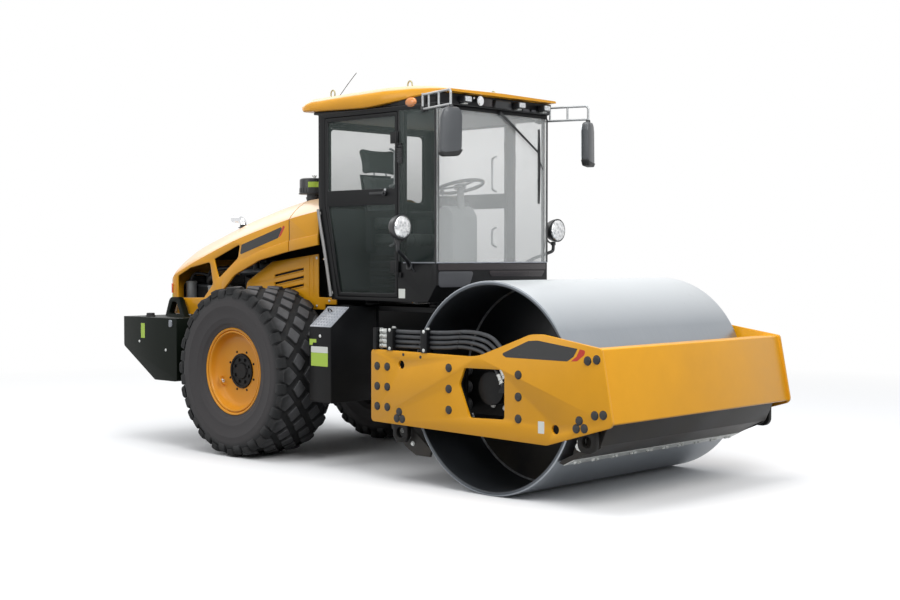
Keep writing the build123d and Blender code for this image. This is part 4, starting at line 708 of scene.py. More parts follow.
STEP_LOW, STEP_HIGH = (1.0, 1.131), (0.79, 1.295)      # y, z of the slope's edges
STEP_X = (-2.019, -1.756)
tread = enamel("grip_plate", tint("8E9299"), gloss=0.42, dust=0.25)
rise = Vector((0, STEP_HIGH[0] - STEP_LOW[0], STEP_HIGH[1] - STEP_LOW[1]))
grip = turned([(0.011, 0.0), (0.009, 0.003), (0.006, 0.0035), (0.005, 0.001), (0.0, 0.001)], 12)
rows = [plate(oblong(-0.128, -0.128, 0.128, 0.128, 0.01), 0.0, 0.004, (), 0.001, "xy")]
rows += [(grip, Matrix.Translation((0.034 * (i - 3), 0.034 * (j - 3), 0.004))) for i in range(7)
         for j in range(7)]
rows += [(dome(0.013, 0.01), Matrix.Translation((x, 0.108, 0.004))) for x in (0.108, -0.108)]
panel = gathered(rows)
panels = []
for side in (-1, 1):
    middle = at(sum(STEP_X) / 2, side * (STEP_LOW[0] + STEP_HIGH[0]) / 2, (STEP_LOW[1] + STEP_HIGH[1]) / 2)
    lean = atan2(rise.z, -rise.y) * side
    panels.append((panel, Matrix.Translation(middle) @ Matrix.Rotation(-lean, 4, "X")))
piece("step_treads", panels, tread, "rear_frame", 40)
shackle = tube([(-0.02, 0.0, 0.0), (-0.02, 0.0, 0.03), (0.02, 0.0, 0.03), (0.02, 0.0, 0.0)], 0.005, 3, 4)
rows = [(shackle, here(-1.93, side * 0.845, 1.253) @ Matrix.Rotation(side * -0.66, 4, "X"))
        for side in (-1, 1)]
piece("step_eyes", rows, black, "rear_frame")
BOX_WHITE = ((-1.994, 0.928, 0.003), (-1.792, 0.928, 0.003), (-1.792, 0.978, 0.006), (-1.994, 0.978, 0.006))
BOX_LIME = ((-1.994, 0.82, 0.006), (-1.792, 0.82, 0.006), (-1.792, 0.9275, 0.003), (-1.994, 0.9275, 0.003))
BOX_MARK = ((-2.012, 0.988, 0.003), (-1.978, 0.988, 0.003), (-1.97, 1.008, 0.003), (-1.93, 1.008, 0.003),
            (-1.93, 1.036, 0.003), (-2.012, 1.036, 0.003))
TAIL_MARK = oblong(-4.31, 0.957, -4.25, 1.092, 0.004)
for name, rows, y, finish in (("box_label", BOX_WHITE, 1.0, white_foil),
                              ("box_label_foot", BOX_LIME, 1.0, lime_foil),
                              ("box_marker", BOX_MARK, 1.0, lime_foil),
                              ("tail_marker", TAIL_MARK, 1.05, lime_foil)):
    piece(name, on_both(sheet(rows, y - FOIL, y + FOIL)), finish, "rear_frame")
rows = standing(dome(0.012, 0.008), [(-1.885, 1.0, 1.063)])
rows += standing(dome(0.011, 0.007), [(-3.925, 1.05, 0.861), (-4.335, 1.05, 0.925)])
piece("tail_bolts", rows, zinc, "rear_frame")
stub = sheet(oblong(-3.866, 1.07, -3.822, 1.134, 0.014), 1.0495, 1.062, 0.004)
piece("tail_stubs", on_both(stub), tread, "rear_frame")
filler = turned([(0.0, 0.0), (0.044, 0.0), (0.044, 0.012), (0.038, 0.016), (0.038, 0.028), (0.034, 0.034),
                 (0.0, 0.036)], 32)
piece("tail_cap", [(filler, here(-4.33, y, 1.1475)) for y in (-0.93, 0.93)], black_rubber,
      "rear_frame")
seams = [tube([at(x, side * 0.502, 0.7), at(x, side * 0.502, 1.19)], 0.006, 2, 3)
         for x in (-1.762, -2.012) for side in (-1, 1)]
seams += [tube([at(-3.755, side * 0.503, z), at(-2.2, side * 0.503, z)], 0.006, 2, 3)
          for z in (0.853, 1.242) for side in (-1, 1)]
piece("rail_welds", seams, black, "rear_frame", 60)
softened("rear_axle", black, 0.006)
WHEEL_X, WHEEL_Z = -2.91, 0.725          # the rear wheels' axle
rows = [(bolt_24, facing(at(WHEEL_X + 0.185 * cos(t), s * 0.15, WHEEL_Z + 0.185 * sin(t)), (0, s, 0), t))
        for s in (-1, 1) for t in [2 * pi * i / 10 for i in range(10)]]
rows += [(bolt_24, facing(at(WHEEL_X + 0.085 * cos(t), s * 0.509, WHEEL_Z + 0.085 * sin(t)), (0, s, 0), t))
         for s in (-1, 1) for t in [2 * pi * i / 8 for i in range(8)]]
piece("axle_bolts", rows, zinc, "rear_frame")


# ==================================================================== tyres
# Low-pressure traction tyres: twenty staggered rows of rubber diamonds, five across, with knobs on both
# shoulders. The rubber is moulded, so the blocks have drafted sides; dry soil sits in the grooves.
TYRE_R, TYRE_Y, GROOVE_R = 0.7246, 0.84, 0.699
AXLE = Vector((DRUM_X + WHEEL_X, 0, WHEEL_Z))
tyre_rubber = Finish("tyre_rubber", Specular_IOR_Level=0.35)
radius, turn = about_axle(tyre_rubber, AXLE.x, AXLE.z)
dirt = tyre_rubber.noise(9.0, 6.0, 0.7)
pores = tyre_rubber.noise(260.0)
groove = (1 - radius.over(0.7, 0.016)) * radius.over(0.65, 0.03)
# The tread's block tops are painted a lighter grey.
lighter_block_tops = radius.over(0.7165, 0.005) * (dirt.over(0.3, 0.5) * 0.6 + 0.4)
wall = (1 - radius.over(0.6, 0.04)) * 0.8
gum = tyre_rubber.mix(dirt.over(0.35, 0.4), tint("1D1E1F"), tint("2C2C2D"))
gum = tyre_rubber.mix(wall * (dirt * 0.5 + 0.6).held(), gum, tint("454243"))
gum = tyre_rubber.mix(groove * dirt.over(0.5, 0.3) * 0.25, gum, tint("4A433B"))
gum = tyre_rubber.mix(lighter_block_tops * 0.85, gum, tint("68686A"))
tyre_rubber.feed(Base_Color=gum, Roughness=(0.52 + dirt * 0.3 + groove * 0.2).held())
tyre_rubber.raise_by(pores * 0.5 + dirt * 0.5, 0.0012, 0.5)


def skinned(bm, loops, ends=True):
    """The faces between closed loops of as many corners each, and those that close the two ends."""
    count = len(loops[0])
    for lower, upper in zip(loops, loops[1:]):
        for i in range(count):
            j = (i + 1) % count
            bm.faces.new((lower[i], lower[j], upper[j], upper[i]))
    if ends:
        bm.faces.new(loops[0])
        bm.faces.new(loops[-1])


def crown(y):
    """Radius of the block tops across the tread."""
    return TYRE_R - 0.01 * (abs(y) / 0.284) ** 3


def knob(rings):
    """A tread block from rings of (y, turn, radius), foot first, closed on top."""
    bm = bmesh.new()
    loops = [[bm.verts.new((r * sin(a), y, r * cos(a))) for y, a, r in ring] for ring in rings]
    skinned(bm, loops, False)
    ring, count = rings[-1], len(loops[0])
    y, a = sum(p[0] for p in ring) / count, sum(p[1] for p in ring) / count
    r = crown(y)
    hub = bm.verts.new((r * sin(a), y, r * cos(a)))
    for i in range(count):
        bm.faces.new((loops[-1][i], loops[-1][(i + 1) % count], hub))
    return mesh_of(bm)


def tread_block(corners, drop=0.0):
    """One block from its outline in (y, run along the tread), with a drafted side and a rounded brim."""
    points = cornered([(y, run, 0.01) for y, run in corners])
    dense = []
    for i, p in enumerate(points):
        q = points[(i + 1) % len(points)]
        dense += [p, (p + q) / 2] if (q - p).length > 0.04 else [p]
    middle = sum(dense, Vector((0, 0))) / len(dense)
    rings = []
    for grow, depth in ((0.006, None), (0.003, 0.02), (0.0005, 0.004), (-0.0035, 0.0)):
        ring = []
        for p in dense:
            y, run = p + (p - middle).normalized() * grow
            floor = GROOVE_R - 0.002 if abs(y) < 0.235 else GROOVE_R - 0.002 - (abs(y) - 0.235) * 0.8
            r = floor if depth is None else crown(y) - depth - drop
            ring.append((y, run / TYRE_R, r))
        rings.append(ring)
    return knob(rings)


def shoulder_block(width):
    """One knob over the edge of the tread, running down the sidewall."""
    section = ((0.236, 0.69), (0.24, 0.708), (0.262, 0.7045), (0.284, 0.69), (0.294, 0.664), (0.2948, 0.636),
               (0.286, 0.622), (0.262, 0.65))
    bm = bmesh.new()
    loops = []
    for a, shrink in ((-1.0, 0.006), (-0.82, 0.0), (0.0, 0.0), (0.82, 0.0), (1.0, 0.006)):
        loop = []
        for i, (y, r) in enumerate(section):
            pull = shrink if 0 < i < 6 else 0
            loop.append(bm.verts.new(((r - pull) * sin(a * width / 0.7), y - pull,
                                      (r - pull) * cos(a * width / 0.7))))
        loops.append(loop)
    skinned(bm, loops)
    return mesh_of(bm)


half = 0.077
narrow = [(-half + 0.012, 0.0), (0.0, -half), (half - 0.012, 0.0), (0.0, half)]
outer = [(0.22 - half, 0.0), (0.22, -half), (0.272, -0.046), (0.28, -0.03), (0.28, 0.03), (0.272, 0.046),
         (0.22, half)]
columns = [(tread_block(narrow), 0), (tread_block([(y + 0.11, run) for y, run in narrow]), 1),
           (tread_block(outer), 0), (shoulder_block(0.046), 1)]
mirrored = Matrix.Scale(-1, 4, (0, 1, 0))
rows = []
for i in range(20):
    for number, (form, odd) in enumerate(columns):
        turn = Matrix.Rotation(radians(18 * (i + odd / 2)), 4, "Y")
        rows += [(form, turn)] + ([(form, mirrored @ turn)] if number else [])
wall = [(0.0, GROOVE_R), (0.145, GROOVE_R), (0.2, 0.697), (0.235, 0.69), (0.262, 0.674), (0.281, 0.65),
        (0.291, 0.62), (0.2945, 0.59), (0.2935, 0.566), (0.295, 0.56), (0.295, 0.556), (0.2925, 0.55),
        (0.288, 0.5), (0.28, 0.462), (0.281, 0.457), (0.2785, 0.452), (0.268, 0.422), (0.266, 0.412),
        (0.262, 0.408), (0.252, 0.398), (0.248, 0.386), (0.243, 0.376), (0.234, 0.372), (0.224, 0.35),
        (0.0, 0.3458)]
ring = [(r, y) for y, r in wall] + [(r, -y) for y, r in reversed(wall[1:-1])]
rows.append((turned(ring, 160, True), facing((0, 0, 0), (0, 1, 0))))
whole = gathered(rows)
for name, side in NAMED_SIDES:
    mesh = whole.copy()
    mesh.transform(Matrix.Translation((AXLE.x, side * TYRE_Y, AXLE.z)))
    piece("tyre_moulded_" + name, mesh, tyre_rubber, "wheel_" + name, 38, ("tyre_" + name,))


# ==================================================================== wheels
# Pressed steel rims with a rolled flange, a gutter ring and a deep dish welded to the hub's flange; wheel
# nuts stand round the black hub, and a brass valve with a guard sits in the dish.
RIM = [(0.3315, 0.59), (0.366, 0.587), (0.371, 0.59), (0.372, 0.597), (0.368, 0.601), (0.346, 0.603),
       (0.3445, 0.62), (0.3445, 1.04), (0.346, 1.066), (0.364, 1.068), (0.369, 1.07), (0.3725, 1.075),
       (0.372, 1.081), (0.368, 1.0845), (0.36, 1.0845), (0.354, 1.081), (0.351, 1.077), (0.3505, 1.07),
       (0.348, 1.067), (0.3455, 1.07), (0.344, 1.076), (0.339, 1.079), (0.333, 1.078), (0.328, 1.073),
       (0.324, 1.06), (0.318, 1.036), (0.309, 1.014), (0.296, 0.998), (0.276, 0.989), (0.24, 0.986),
       (0.2, 0.985), (0.15, 0.985), (0.15, 0.969), (0.27, 0.97), (0.312, 0.992), (0.3305, 1.03)]
rim_yellow = enamel("wheel_enamel", tint("EA9C1A"), gloss=0.32, dust=0.3, dust_top=1.4, shine=0.2, level=0.3)
dish = turned(RIM, 120, True)
hub = turned([(0.062, 0.58), (0.128, 0.58), (0.132, 0.585), (0.1475, 0.965), (0.1475, 0.994),
              (0.144, 0.9985), (0.132, 1.0), (0.127, 0.997), (0.124, 0.988), (0.072, 0.986), (0.069, 0.994),
              (0.064, 0.998), (0.0, 0.999)], 64)
for name, side in NAMED_SIDES:
    lay = facing((AXLE.x, 0, AXLE.z), (0, side, 0))
    piece("rim_pressed_" + name, [(dish, lay)], rim_yellow, "wheel_" + name, 35, ("rim_" + name,))
    piece("hub_" + name, [(hub, lay)], black, "wheel_" + name, 35)
    rows = []
    for i in range(8):
        a = 2 * pi * (i + 0.5) / 8
        rows.append((dome(0.009, 0.008), lay @ Matrix.Translation((0.172 * cos(a), 0.172 * sin(a), 0.985))))
        rows.append((bolt_16, lay @ Matrix.Translation((0.099 * cos(a), 0.099 * sin(a), 0.9865))))
    piece("wheel_nuts_" + name, rows, black, "wheel_" + name, 35)
    a = radians(-158 if side < 0 else -22)
    foot = Vector((0.268 * cos(a), side * 0.99, 0.268 * sin(a))) + Vector((AXLE.x, 0, AXLE.z))
    inward = Vector((-cos(a) * 0.7, side * 0.7, -sin(a) * 0.7)).normalized()
    stem = turned([(0.0, 0.0), (0.012, 0.0), (0.012, 0.006), (0.006, 0.01), (0.005, 0.045), (0.0075, 0.047),
                   (0.0075, 0.062), (0.0, 0.063)], 16)
    piece("valve_" + name, [(stem, facing(foot, inward))], zinc, "wheel_" + name, 35)
    out = Vector((0, side, 0))
    along = Vector((-sin(a), 0, cos(a)))
    towards = Vector((cos(a), 0, sin(a)))
    base = Vector((AXLE.x, side * 0.986, AXLE.z)) + towards * 0.262
    hoop = [base - along * 0.038, base - along * 0.038 + out * 0.045 - towards * 0.01,
            base + out * 0.062 - towards * 0.03, base + along * 0.038 + out * 0.045 - towards * 0.01,
            base + along * 0.038]
    piece("valve_guard_" + name, tube(hoop, 0.006, 3, 5), rim_yellow, "wheel_" + name, 60)


# ==================================================================== engine and radiator
# A diesel engine on feet between the rails, seen only through the hood's windows and the wheel arches: a
# cast block with its valve cover, manifold, filters and fan, and a finned radiator over the counterweight.
cast = enamel("engine_enamel", tint("3A3D40"), gloss=0.5, dust=0.6)
softened("engine", cast, 0.012)
alloy = Finish("brushed_alloy", Metallic=0.9)
brush = alloy.noise(30.0, 3.0, 0.6, alloy.stretched(1.0, 1.0, 14.0))
alloy.feed(Base_Color=alloy.mix(brush, tint("8F9294"), tint("BFC1C2")), Roughness=(0.3 + brush * 0.2).held())
ENGINE_LOW, ENGINE_HIGH = at(-3.7, -0.33, 1.0), at(-2.75, 0.33, 1.64)
rows = []
for i in range(6):
    x = ENGINE_LOW.x + 0.1 + i * 0.15
    rows.append(plate(oblong(x - 0.055, -0.2, x + 0.055, 0.2, 0.02), 1.64, 1.672, (), 0.006, "xy"))
    for side in (-1, 1):
        runner = [(x, side * 0.332, 1.52), (x, side * 0.39, 1.53), (x + 0.02, side * 0.41, 1.56)]
        rows.append(tube(runner, 0.022, 3, 5))
        rows.append((hexagon(0.022, 0.012), facing((x, side * 0.332, 1.2), (0, side, 0))))
for side in (-1, 1):
    rows.append(tube([(ENGINE_LOW.x + 0.05, side * 0.41, 1.565), (ENGINE_HIGH.x - 0.08, side * 0.41, 1.565)],
                     0.034, 2))
piece("engine_top", rows, cast, "rear_frame", 35)
bowl = [(0.0, 0.0), (0.046, 0.0), (0.05, 0.006), (0.05, 0.135), (0.054, 0.138), (0.054, 0.152),
        (0.044, 0.158), (0.0, 0.16)]
rows = [(turned(bowl), here(x, y, z)) for x, y, z in
        ((-4.285, -0.5, 1.315), (-4.285, 0.5, 1.315), (-3.92, -0.52, 1.28))]
rows.append((lathed([(0.09, 0.0), (0.1, 0.01), (0.1, 0.4), (0.09, 0.41)], 40),
             facing(at(-3.6, 0.36, 1.36), (1, 0, 0))))
canister = enamel("filter_enamel", tint("8C8E8E"), gloss=0.4, dust=0.4, dust_top=1.9)
piece("filters", rows, canister, "rear_frame", 35)
rows = [tube([at(-4.05, -0.46, 1.46), at(-3.98, -0.5, 1.52), at(-3.86, -0.5, 1.5), at(-3.74, -0.42, 1.4)],
             0.03), tube([at(-4.15, -0.4, 1.46), at(-4.1, -0.44, 1.55), at(-3.95, -0.44, 1.6),
                          at(-3.7, -0.3, 1.6)], 0.022), tube([at(-4.02, 0.46, 1.46), at(-3.96, 0.5, 1.52),
    at(-3.84, 0.5, 1.5), at(-3.72, 0.42, 1.4)], 0.03), tube([at(-4.285, -0.5, 1.47), at(-4.285, -0.5, 1.54),
    at(-4.15, -0.46, 1.55), at(-4.05, -0.4, 1.5)], 0.014, 3, 5),
        tube([at(-3.42, -0.41, 1.56), at(-3.42, -0.43, 1.72), at(-3.55, -0.42, 1.8), at(-3.59, -0.42, 1.8)],
             0.03)]
piece("engine_pipes", rows, black_rubber, "rear_frame", 50)
fins = [(plate(oblong(-0.005, 1.17, 0.005, 1.42, 0), side * 0.4505, side * 0.4575),
         here(-4.32 + 0.018 * i, 0, 0)) for i in range(19) for side in (-1, 1)]
piece("radiator_fins", fins, black_rubber, "rear_frame")
blade = plate([(0.04, -0.02, 0.01), (0.21, -0.05, 0.03), (0.21, 0.05, 0.03), (0.04, 0.02, 0.01)], 0.0, 0.003,
              (), 0.0, "xy")
rows = [(blade, facing(at(-3.86, 0, 1.32), (1, 0, 0), 2 * pi * i / 7) @ Matrix.Rotation(0.45, 4, "X"))
        for i in range(7)]
rows.append((lathed([(0.055, -0.02), (0.055, 0.03)], 24), facing(at(-3.86, 0, 1.32), (1, 0, 0))))
piece("engine_fan", rows, black_rubber, "rear_frame", 40)


# ==================================================================== hood
# A moulding of fibre-reinforced plastic, 12 mm thick, with flat chamfered shoulders and a rounded tail. It
# tilts back on two hinges; a short fixed section stays before the cab. Its lower edge swells into a lip.
RIDGE = ((-4.424, 1.49, 1.655), (-4.23, 1.572, 1.76), (-3.86, 1.707, 1.882), (-3.344, 1.866, 2.035),
         (-2.67, 2.021, 2.183), (-2.29, 2.084, 2.205))      # x, height of the crease, height of the top
HOOD_Y, HOOD_TOP_Y, TAIL_X, TAIL_ROUND, HOOD_LOW = 0.66, 0.45, -4.424, 0.085, 1.169
ARCH = ((-3.866, 1.169, 0.0), (-3.863, 1.184, 0.04), (-3.698, 1.307, 0.0), (-3.418, 1.537, 0.2),
        (-3.064, 1.671, 0.3), (-2.69, 1.742, 0.0), (-2.28, 1.8, 0.0))  # x, z, corner radius
WINDOWS = (((-4.278, 1.318, 0.015), (-3.877, 1.326, 0.015), (-3.741, 1.452, 0.03), (-3.784, 1.652, 0.03),
            (-4.08, 1.6, 0.03), (-4.278, 1.52, 0.03)),
           ((-3.724, 1.679, 0.015), (-3.681, 1.562, 0.03), (-3.652, 1.507, 0.012), (-3.374, 1.689, 0.05),
            (-3.344, 1.813, 0.015)))
hood_yellow = enamel("hood_enamel", tint("E9A31A"), gloss=0.28, dust=0.08, dust_top=1.5, peel=0.6, shine=0.2,
                     level=0.3)


def sky_highlight(finish, share):
    """A painted highlight: the colour turns cream where the surface faces up, standing in for the bright sky
    reflected on it.
    """
    rise = finish.node("ShaderNodeSeparateXYZ", {}, {0: finish.node("ShaderNodeNewGeometry", {}, {},
        "Normal")}, "Z")
    under = Socket(finish, finish.shader.inputs["Base Color"].links[0].from_socket)
    finish.feed(Base_Color=finish.mix(rise.over(0.5, 0.14) * share, under, tint("F2E3D2")))


# Painted highlight: the hood's upward-facing shoulders and top turn cream.
sky_highlight(hood_yellow, 0.55)


def ridge(x):
    """Heights of the crease and of the top at a place along the hood."""
    i = max(0, min(len(RIDGE) - 2, sum(x > row[0] for row in RIDGE) - 1))
    low, high = RIDGE[i], RIDGE[i + 1]
    before, after = RIDGE[max(0, i - 1)], RIDGE[min(len(RIDGE) - 1, i + 2)]
    span = high[0] - low[0]
    t = (x - low[0]) / span
    out = []
    for k in (1, 2):
        start = (high[k] - before[k]) / (high[0] - before[0]) * span
        end = (after[k] - low[k]) / (after[0] - low[0]) * span
        out.append((2 * t ** 3 - 3 * t ** 2 + 1) * low[k] + (t ** 3 - 2 * t ** 2 + t) * start
                   + (3 * t ** 2 - 2 * t ** 3) * high[k] + (t ** 3 - t ** 2) * end)
    return out


def section(x, inset, foot):
    """Half of the hood's section at a place, as (y, z) from its foot to the middle of the top."""
    past = min(1.0, max(0.0, (TAIL_X + TAIL_ROUND - x) / TAIL_ROUND))
    drawn = TAIL_ROUND * (1 - sqrt(max(0.0, 1 - past * past))) + inset
    crease, top = ridge(x)
    crease, top = crease - drawn * 0.6, top - drawn * (1.0 if past < 0.01 else 0.9)
    wide, narrow = HOOD_Y - drawn, HOOD_TOP_Y - drawn * 0.5
    low = crease if foot is None else foot
    half = [(wide, low), (wide, low + (crease - low) * 0.5), (wide, crease - (0.012 if foot else 0.0)),
            (wide - 0.004, crease)]
    for t in (0.15, 0.35, 0.6, 0.82, 0.94):
        a = radians(90 * t)
        y = 0.72 * (wide + (narrow - wide) * t) + 0.28 * (narrow + (wide - narrow) * cos(a))
        z = 0.72 * (crease + (top - crease) * t) + 0.28 * (crease + (top - crease) * sin(a))
        half.append((y, z))
    return half + [(narrow, top), (narrow - 0.03, top + 0.002), (0.0, top + 0.004)]


def shell(stations, inset, thick, foot=None):
    """A thin moulding through the hood's sections at some places along it."""
    bm = bmesh.new()
    loops = []
    for x in stations:
        loop = []
        for depth in (inset, inset + thick):
            half = section(x, depth, foot)
            full = half + [(-y, z) for y, z in reversed(half[:-1])]
            push = min(0.0, x - TAIL_X - depth) if x - TAIL_X < depth else 0.0
            points = [bm.verts.new(at(x - push, y, z)) for y, z in full]
            loop += points if depth == inset else points[::-1]
        loops.append(loop)
    skinned(bm, loops, False)
    for loop in (loops[0], loops[-1]):
        half = len(loop) // 2
        for i in range(half - 1):
            bm.faces.new((loop[i], loop[i + 1], loop[-2 - i], loop[-1 - i]))
    bmesh.ops.remove_doubles(bm, verts=bm.verts, dist=0.00002)
    return mesh_of(bm)


def steps_between(start, end, count):
    """Evenly spaced values from one number to another."""
    return [start + (end - start) * i / count for i in range(count + 1)]


def side_wall(first, last, holes=(), deep=0.0, thick=0.012):
    """The flat side of the hood between two places, from its arch up to the crease."""
    crest = [(x, ridge(x)[0] + 0.0005, 0.0) for x in steps_between(last, first, 30)]
    foot = [row for row in ARCH if first < row[0] < last]
    (xa, za, _), (xb, zb, _) = [row for row in ARCH if row[0] <= last][-1], [row
        for row in ARCH if row[0] > last][0]
    foot.append((last, za + (zb - za) * (last - xa) / (xb - xa), 0.0))
    if first < ARCH[0][0]:
        foot = [(first, HOOD_LOW, 0.0)] + foot
    else:
        (xa, za, _), (xb, zb, _) = [row for row in ARCH if row[0] <= first][-1], [row
            for row in ARCH if row[0] > first][0]
        foot = [(first, za + (zb - za) * (first - xa) / (xb - xa), 0.0)] + foot
    outer, edge = HOOD_Y - deep, 0.0 if deep else 0.0025
    return on_both(plate(from_drum(foot + crest), outer - thick, outer, [from_drum(hole) for hole in holes],
                         edge))


SEAM_BACK, SEAM_FRONT, HOOD_END = -2.676, -2.664, -2.29
TAIL_START = TAIL_X + TAIL_ROUND
tail_steps = [TAIL_START - TAIL_ROUND * sin(radians(a)) for a in (0, 12, 24, 36, 48, 60, 70, 80, 90)]
rows = [shell(steps_between(TAIL_START, SEAM_BACK, 40), 0.0, 0.012),
        shell(tail_steps, 0.0, 0.012, HOOD_LOW),
        side_wall(TAIL_START, SEAM_BACK, WINDOWS)]
inner_y = HOOD_Y - TAIL_ROUND
crease_z, top_z = ridge(TAIL_X)[0] - TAIL_ROUND * 0.6, ridge(TAIL_X)[1] - TAIL_ROUND * 0.9
rear = [(-inner_y, HOOD_LOW, 0), (-0.424, HOOD_LOW, 0), (-0.424, 1.228, 0.01), (-0.306, 1.228, 0.01),
        (-0.306, HOOD_LOW, 0), (0.306, HOOD_LOW, 0), (0.306, 1.228, 0.01), (0.424, 1.228, 0.01),
        (0.424, HOOD_LOW, 0), (inner_y, HOOD_LOW, 0), (inner_y, crease_z, 0),
        (HOOD_TOP_Y - TAIL_ROUND * 0.5, top_z, 0), (TAIL_ROUND * 0.5 - HOOD_TOP_Y, top_z, 0),
        (-inner_y, crease_z, 0)]
grille = [(-0.46, 1.262, 0.03), (0.46, 1.262, 0.03), (0.46, 1.415, 0.03), (0.36, 1.505, 0.03),
          (-0.36, 1.505, 0.03), (-0.46, 1.415, 0.03)]
rows.append(plate(rear, at(TAIL_X, 0, 0).x, at(TAIL_X + 0.012, 0, 0).x, [grille], 0.0015, "yz"))
piece("hood_moulding", rows, hood_yellow, "hood", 28, ("hood",))
rows = [shell(steps_between(TAIL_START - 0.03, SEAM_BACK - 0.01, 30), 0.013, 0.003),
        side_wall(TAIL_START, SEAM_BACK - 0.01, [outset(hole, 0.012) for hole in WINDOWS], 0.0125, 0.004)]
for i in range(9):
    z = 1.278 + 0.027 * i
    reach = 0.475 if z < 1.4 else 0.475 - (z - 1.4)
    slat = plate([(0.0, 0.0, 0), (0.004, 0.0, 0), (0.024, 0.016, 0), (0.02, 0.016, 0)], -reach, reach)
    rows.append((slat, here(TAIL_X + 0.004, 0, z)))
for y in (-0.24, 0.0, 0.24):
    rows.append(plate(oblong(TAIL_X + DRUM_X + 0.026, 1.25, TAIL_X + DRUM_X + 0.034, 1.52, 0), y - 0.006,
                      y + 0.006))
piece("hood_lining", rows, black_rubber, "hood", 28)
hinge = turned([(0.0125, 0.0), (0.022, 0.0), (0.022, 0.07), (0.0125, 0.07)], 32, True)
rows = [(hinge, facing(at(-4.397, s * 0.33, 1.198), (0, s, 0))) for s in (-1, 1)]
rows += [sheet([(-4.42, 1.214, 0), (-4.385, 1.214, 0), (-4.385, 1.255, 0.005), (-4.411, 1.255, 0)],
               s * 0.332, s * 0.398, 0.001) for s in (-1, 1)]
piece("hood_knuckles", rows, black, "hood", 35)

LIP_Y = (0.6595, 0.668)      # inner and outer face of the lip
LIP_TOP = ((-3.6, 1.47, 0.0), (-3.563, 1.526, 0.05), (-3.461, 1.612, 0.25), (-3.345, 1.662, 0.3),
           (-3.064, 1.751, 0.6))
lip = [(-3.6, 1.388, 0.0), (-3.418, 1.537, 0.2), (-3.064, 1.671, 0.3), (SEAM_BACK, 1.7444, 0.0),
       (SEAM_BACK, 1.836, 0.0)]
lip += reversed(LIP_TOP)
front_lip = [(SEAM_FRONT, 1.7457, 0.0), (HOOD_END, 1.7986, 0.0), (HOOD_END, 1.888, 0.0),
             (SEAM_FRONT, 1.838, 0.0)]
piece("hood_lip", on_both(sheet(lip, *LIP_Y, 0.004)), hood_yellow, "hood")
HOOD_STRIPE = ((-3.345, 1.718, 0.012), (-2.815, 1.862, 0.012), (-2.752, 1.962, 0.012),
               (-3.322, 1.806, 0.012))
HOOD_RED = ((-2.812, 1.8605, 0.004), (-2.779, 1.88, 0.02), (-2.723, 1.956, 0.02), (-2.738, 1.969, 0.008),
            (-2.7505, 1.9615, 0.0))
for name, rows, finish in (("hood_stripe", HOOD_STRIPE, black_foil),
                           ("hood_stripe_end", HOOD_RED, red_foil)):
    piece(name, on_both(sheet(rows, HOOD_Y - FOIL, HOOD_Y + FOIL)), finish, "hood")


def ribbed_lens(name, deep, pale, scale, roughness):
    """The coloured lens of a lamp, with fine ribs."""
    lens = Finish(name, Roughness=roughness, Coat_Weight=1.0, Coat_Roughness=0.05)
    rib = lens.node("ShaderNodeTexWave", {}, {"Vector": lens.where, "Scale": scale}, 1)
    lens.feed(Base_Color=lens.mix(rib, tint(deep), tint(pale)))
    return lens


lamp_red = ribbed_lens("red_lens", "D2401C", "F06A3C", 40.0, 0.12)


def corner_patch(low, high, start, end, proud):
    """A lens bent round the hood's tail corner between two heights."""
    bm = bmesh.new()
    loops = []
    for a in steps_between(start, end, 8):
        loop = []
        for depth in (proud, -0.002):
            reach = TAIL_ROUND + depth
            y, x = HOOD_Y - TAIL_ROUND + reach * cos(radians(a)), TAIL_START - reach * sin(radians(a))
            heights = (low, high) if depth == proud else (high, low)
            loop += [bm.verts.new(at(x, y, z)) for z in heights]
        loops.append(loop)
    skinned(bm, loops)
    return on_both(mesh_of(bm))


mesh = plate([(-0.5, 1.245, 0.03), (0.5, 1.245, 0.03), (0.5, 1.44, 0.05), (0.4, 1.52, 0.05),
              (-0.4, 1.52, 0.05), (-0.5, 1.44, 0.05)], at(TAIL_X + 0.018, 0, 0).x,
             at(TAIL_X + 0.022, 0, 0).x, (), 0.0, "yz")
piece("grille_mesh", [mesh], black_rubber, "hood")
piece("tail_lamps", bevelled(corner_patch(1.362, 1.452, 12, 84, 0.01), 0.003), lamp_red, "hood", 30)
piece("tail_reflectors", corner_patch(1.27, 1.355, 12, 84, 0.002), lime_foil, "hood")
rows = [shell(steps_between(SEAM_FRONT, HOOD_END, 8), 0.0, 0.012),
        side_wall(SEAM_FRONT, HOOD_END),
        on_both(sheet(front_lip, *LIP_Y, 0.004))]
piece("hood_front_section", rows, hood_yellow, "rear_frame", 28, ("hood_fixed",))
crease_z, top_z = ridge(-2.347)
wall = [(-0.5, 1.2505, 0), (0.5, 1.2505, 0), (0.5, 1.8, 0), (0.646, 1.8, 0), (0.646, crease_z - 0.008, 0),
        (0.444, top_z - 0.013, 0), (-0.444, top_z - 0.013, 0), (-0.646, crease_z - 0.008, 0),
        (-0.646, 1.8, 0), (-0.5, 1.8, 0)]
piece("bulkhead", plate(wall, at(-2.355, 0, 0).x, at(-2.339, 0, 0).x, (), 0.001, "yz"), black, "rear_frame")
seal = [at(-2.67, y, z) for y, z in ((-0.653, 1.76), (-0.653, 2.005), (-0.445, 2.172), (0.445, 2.172),
    (0.653, 2.005), (0.653, 1.76))]
piece("hood_seal", tube(seal, 0.0045, 2, 3), black_rubber, "rear_frame", 60)


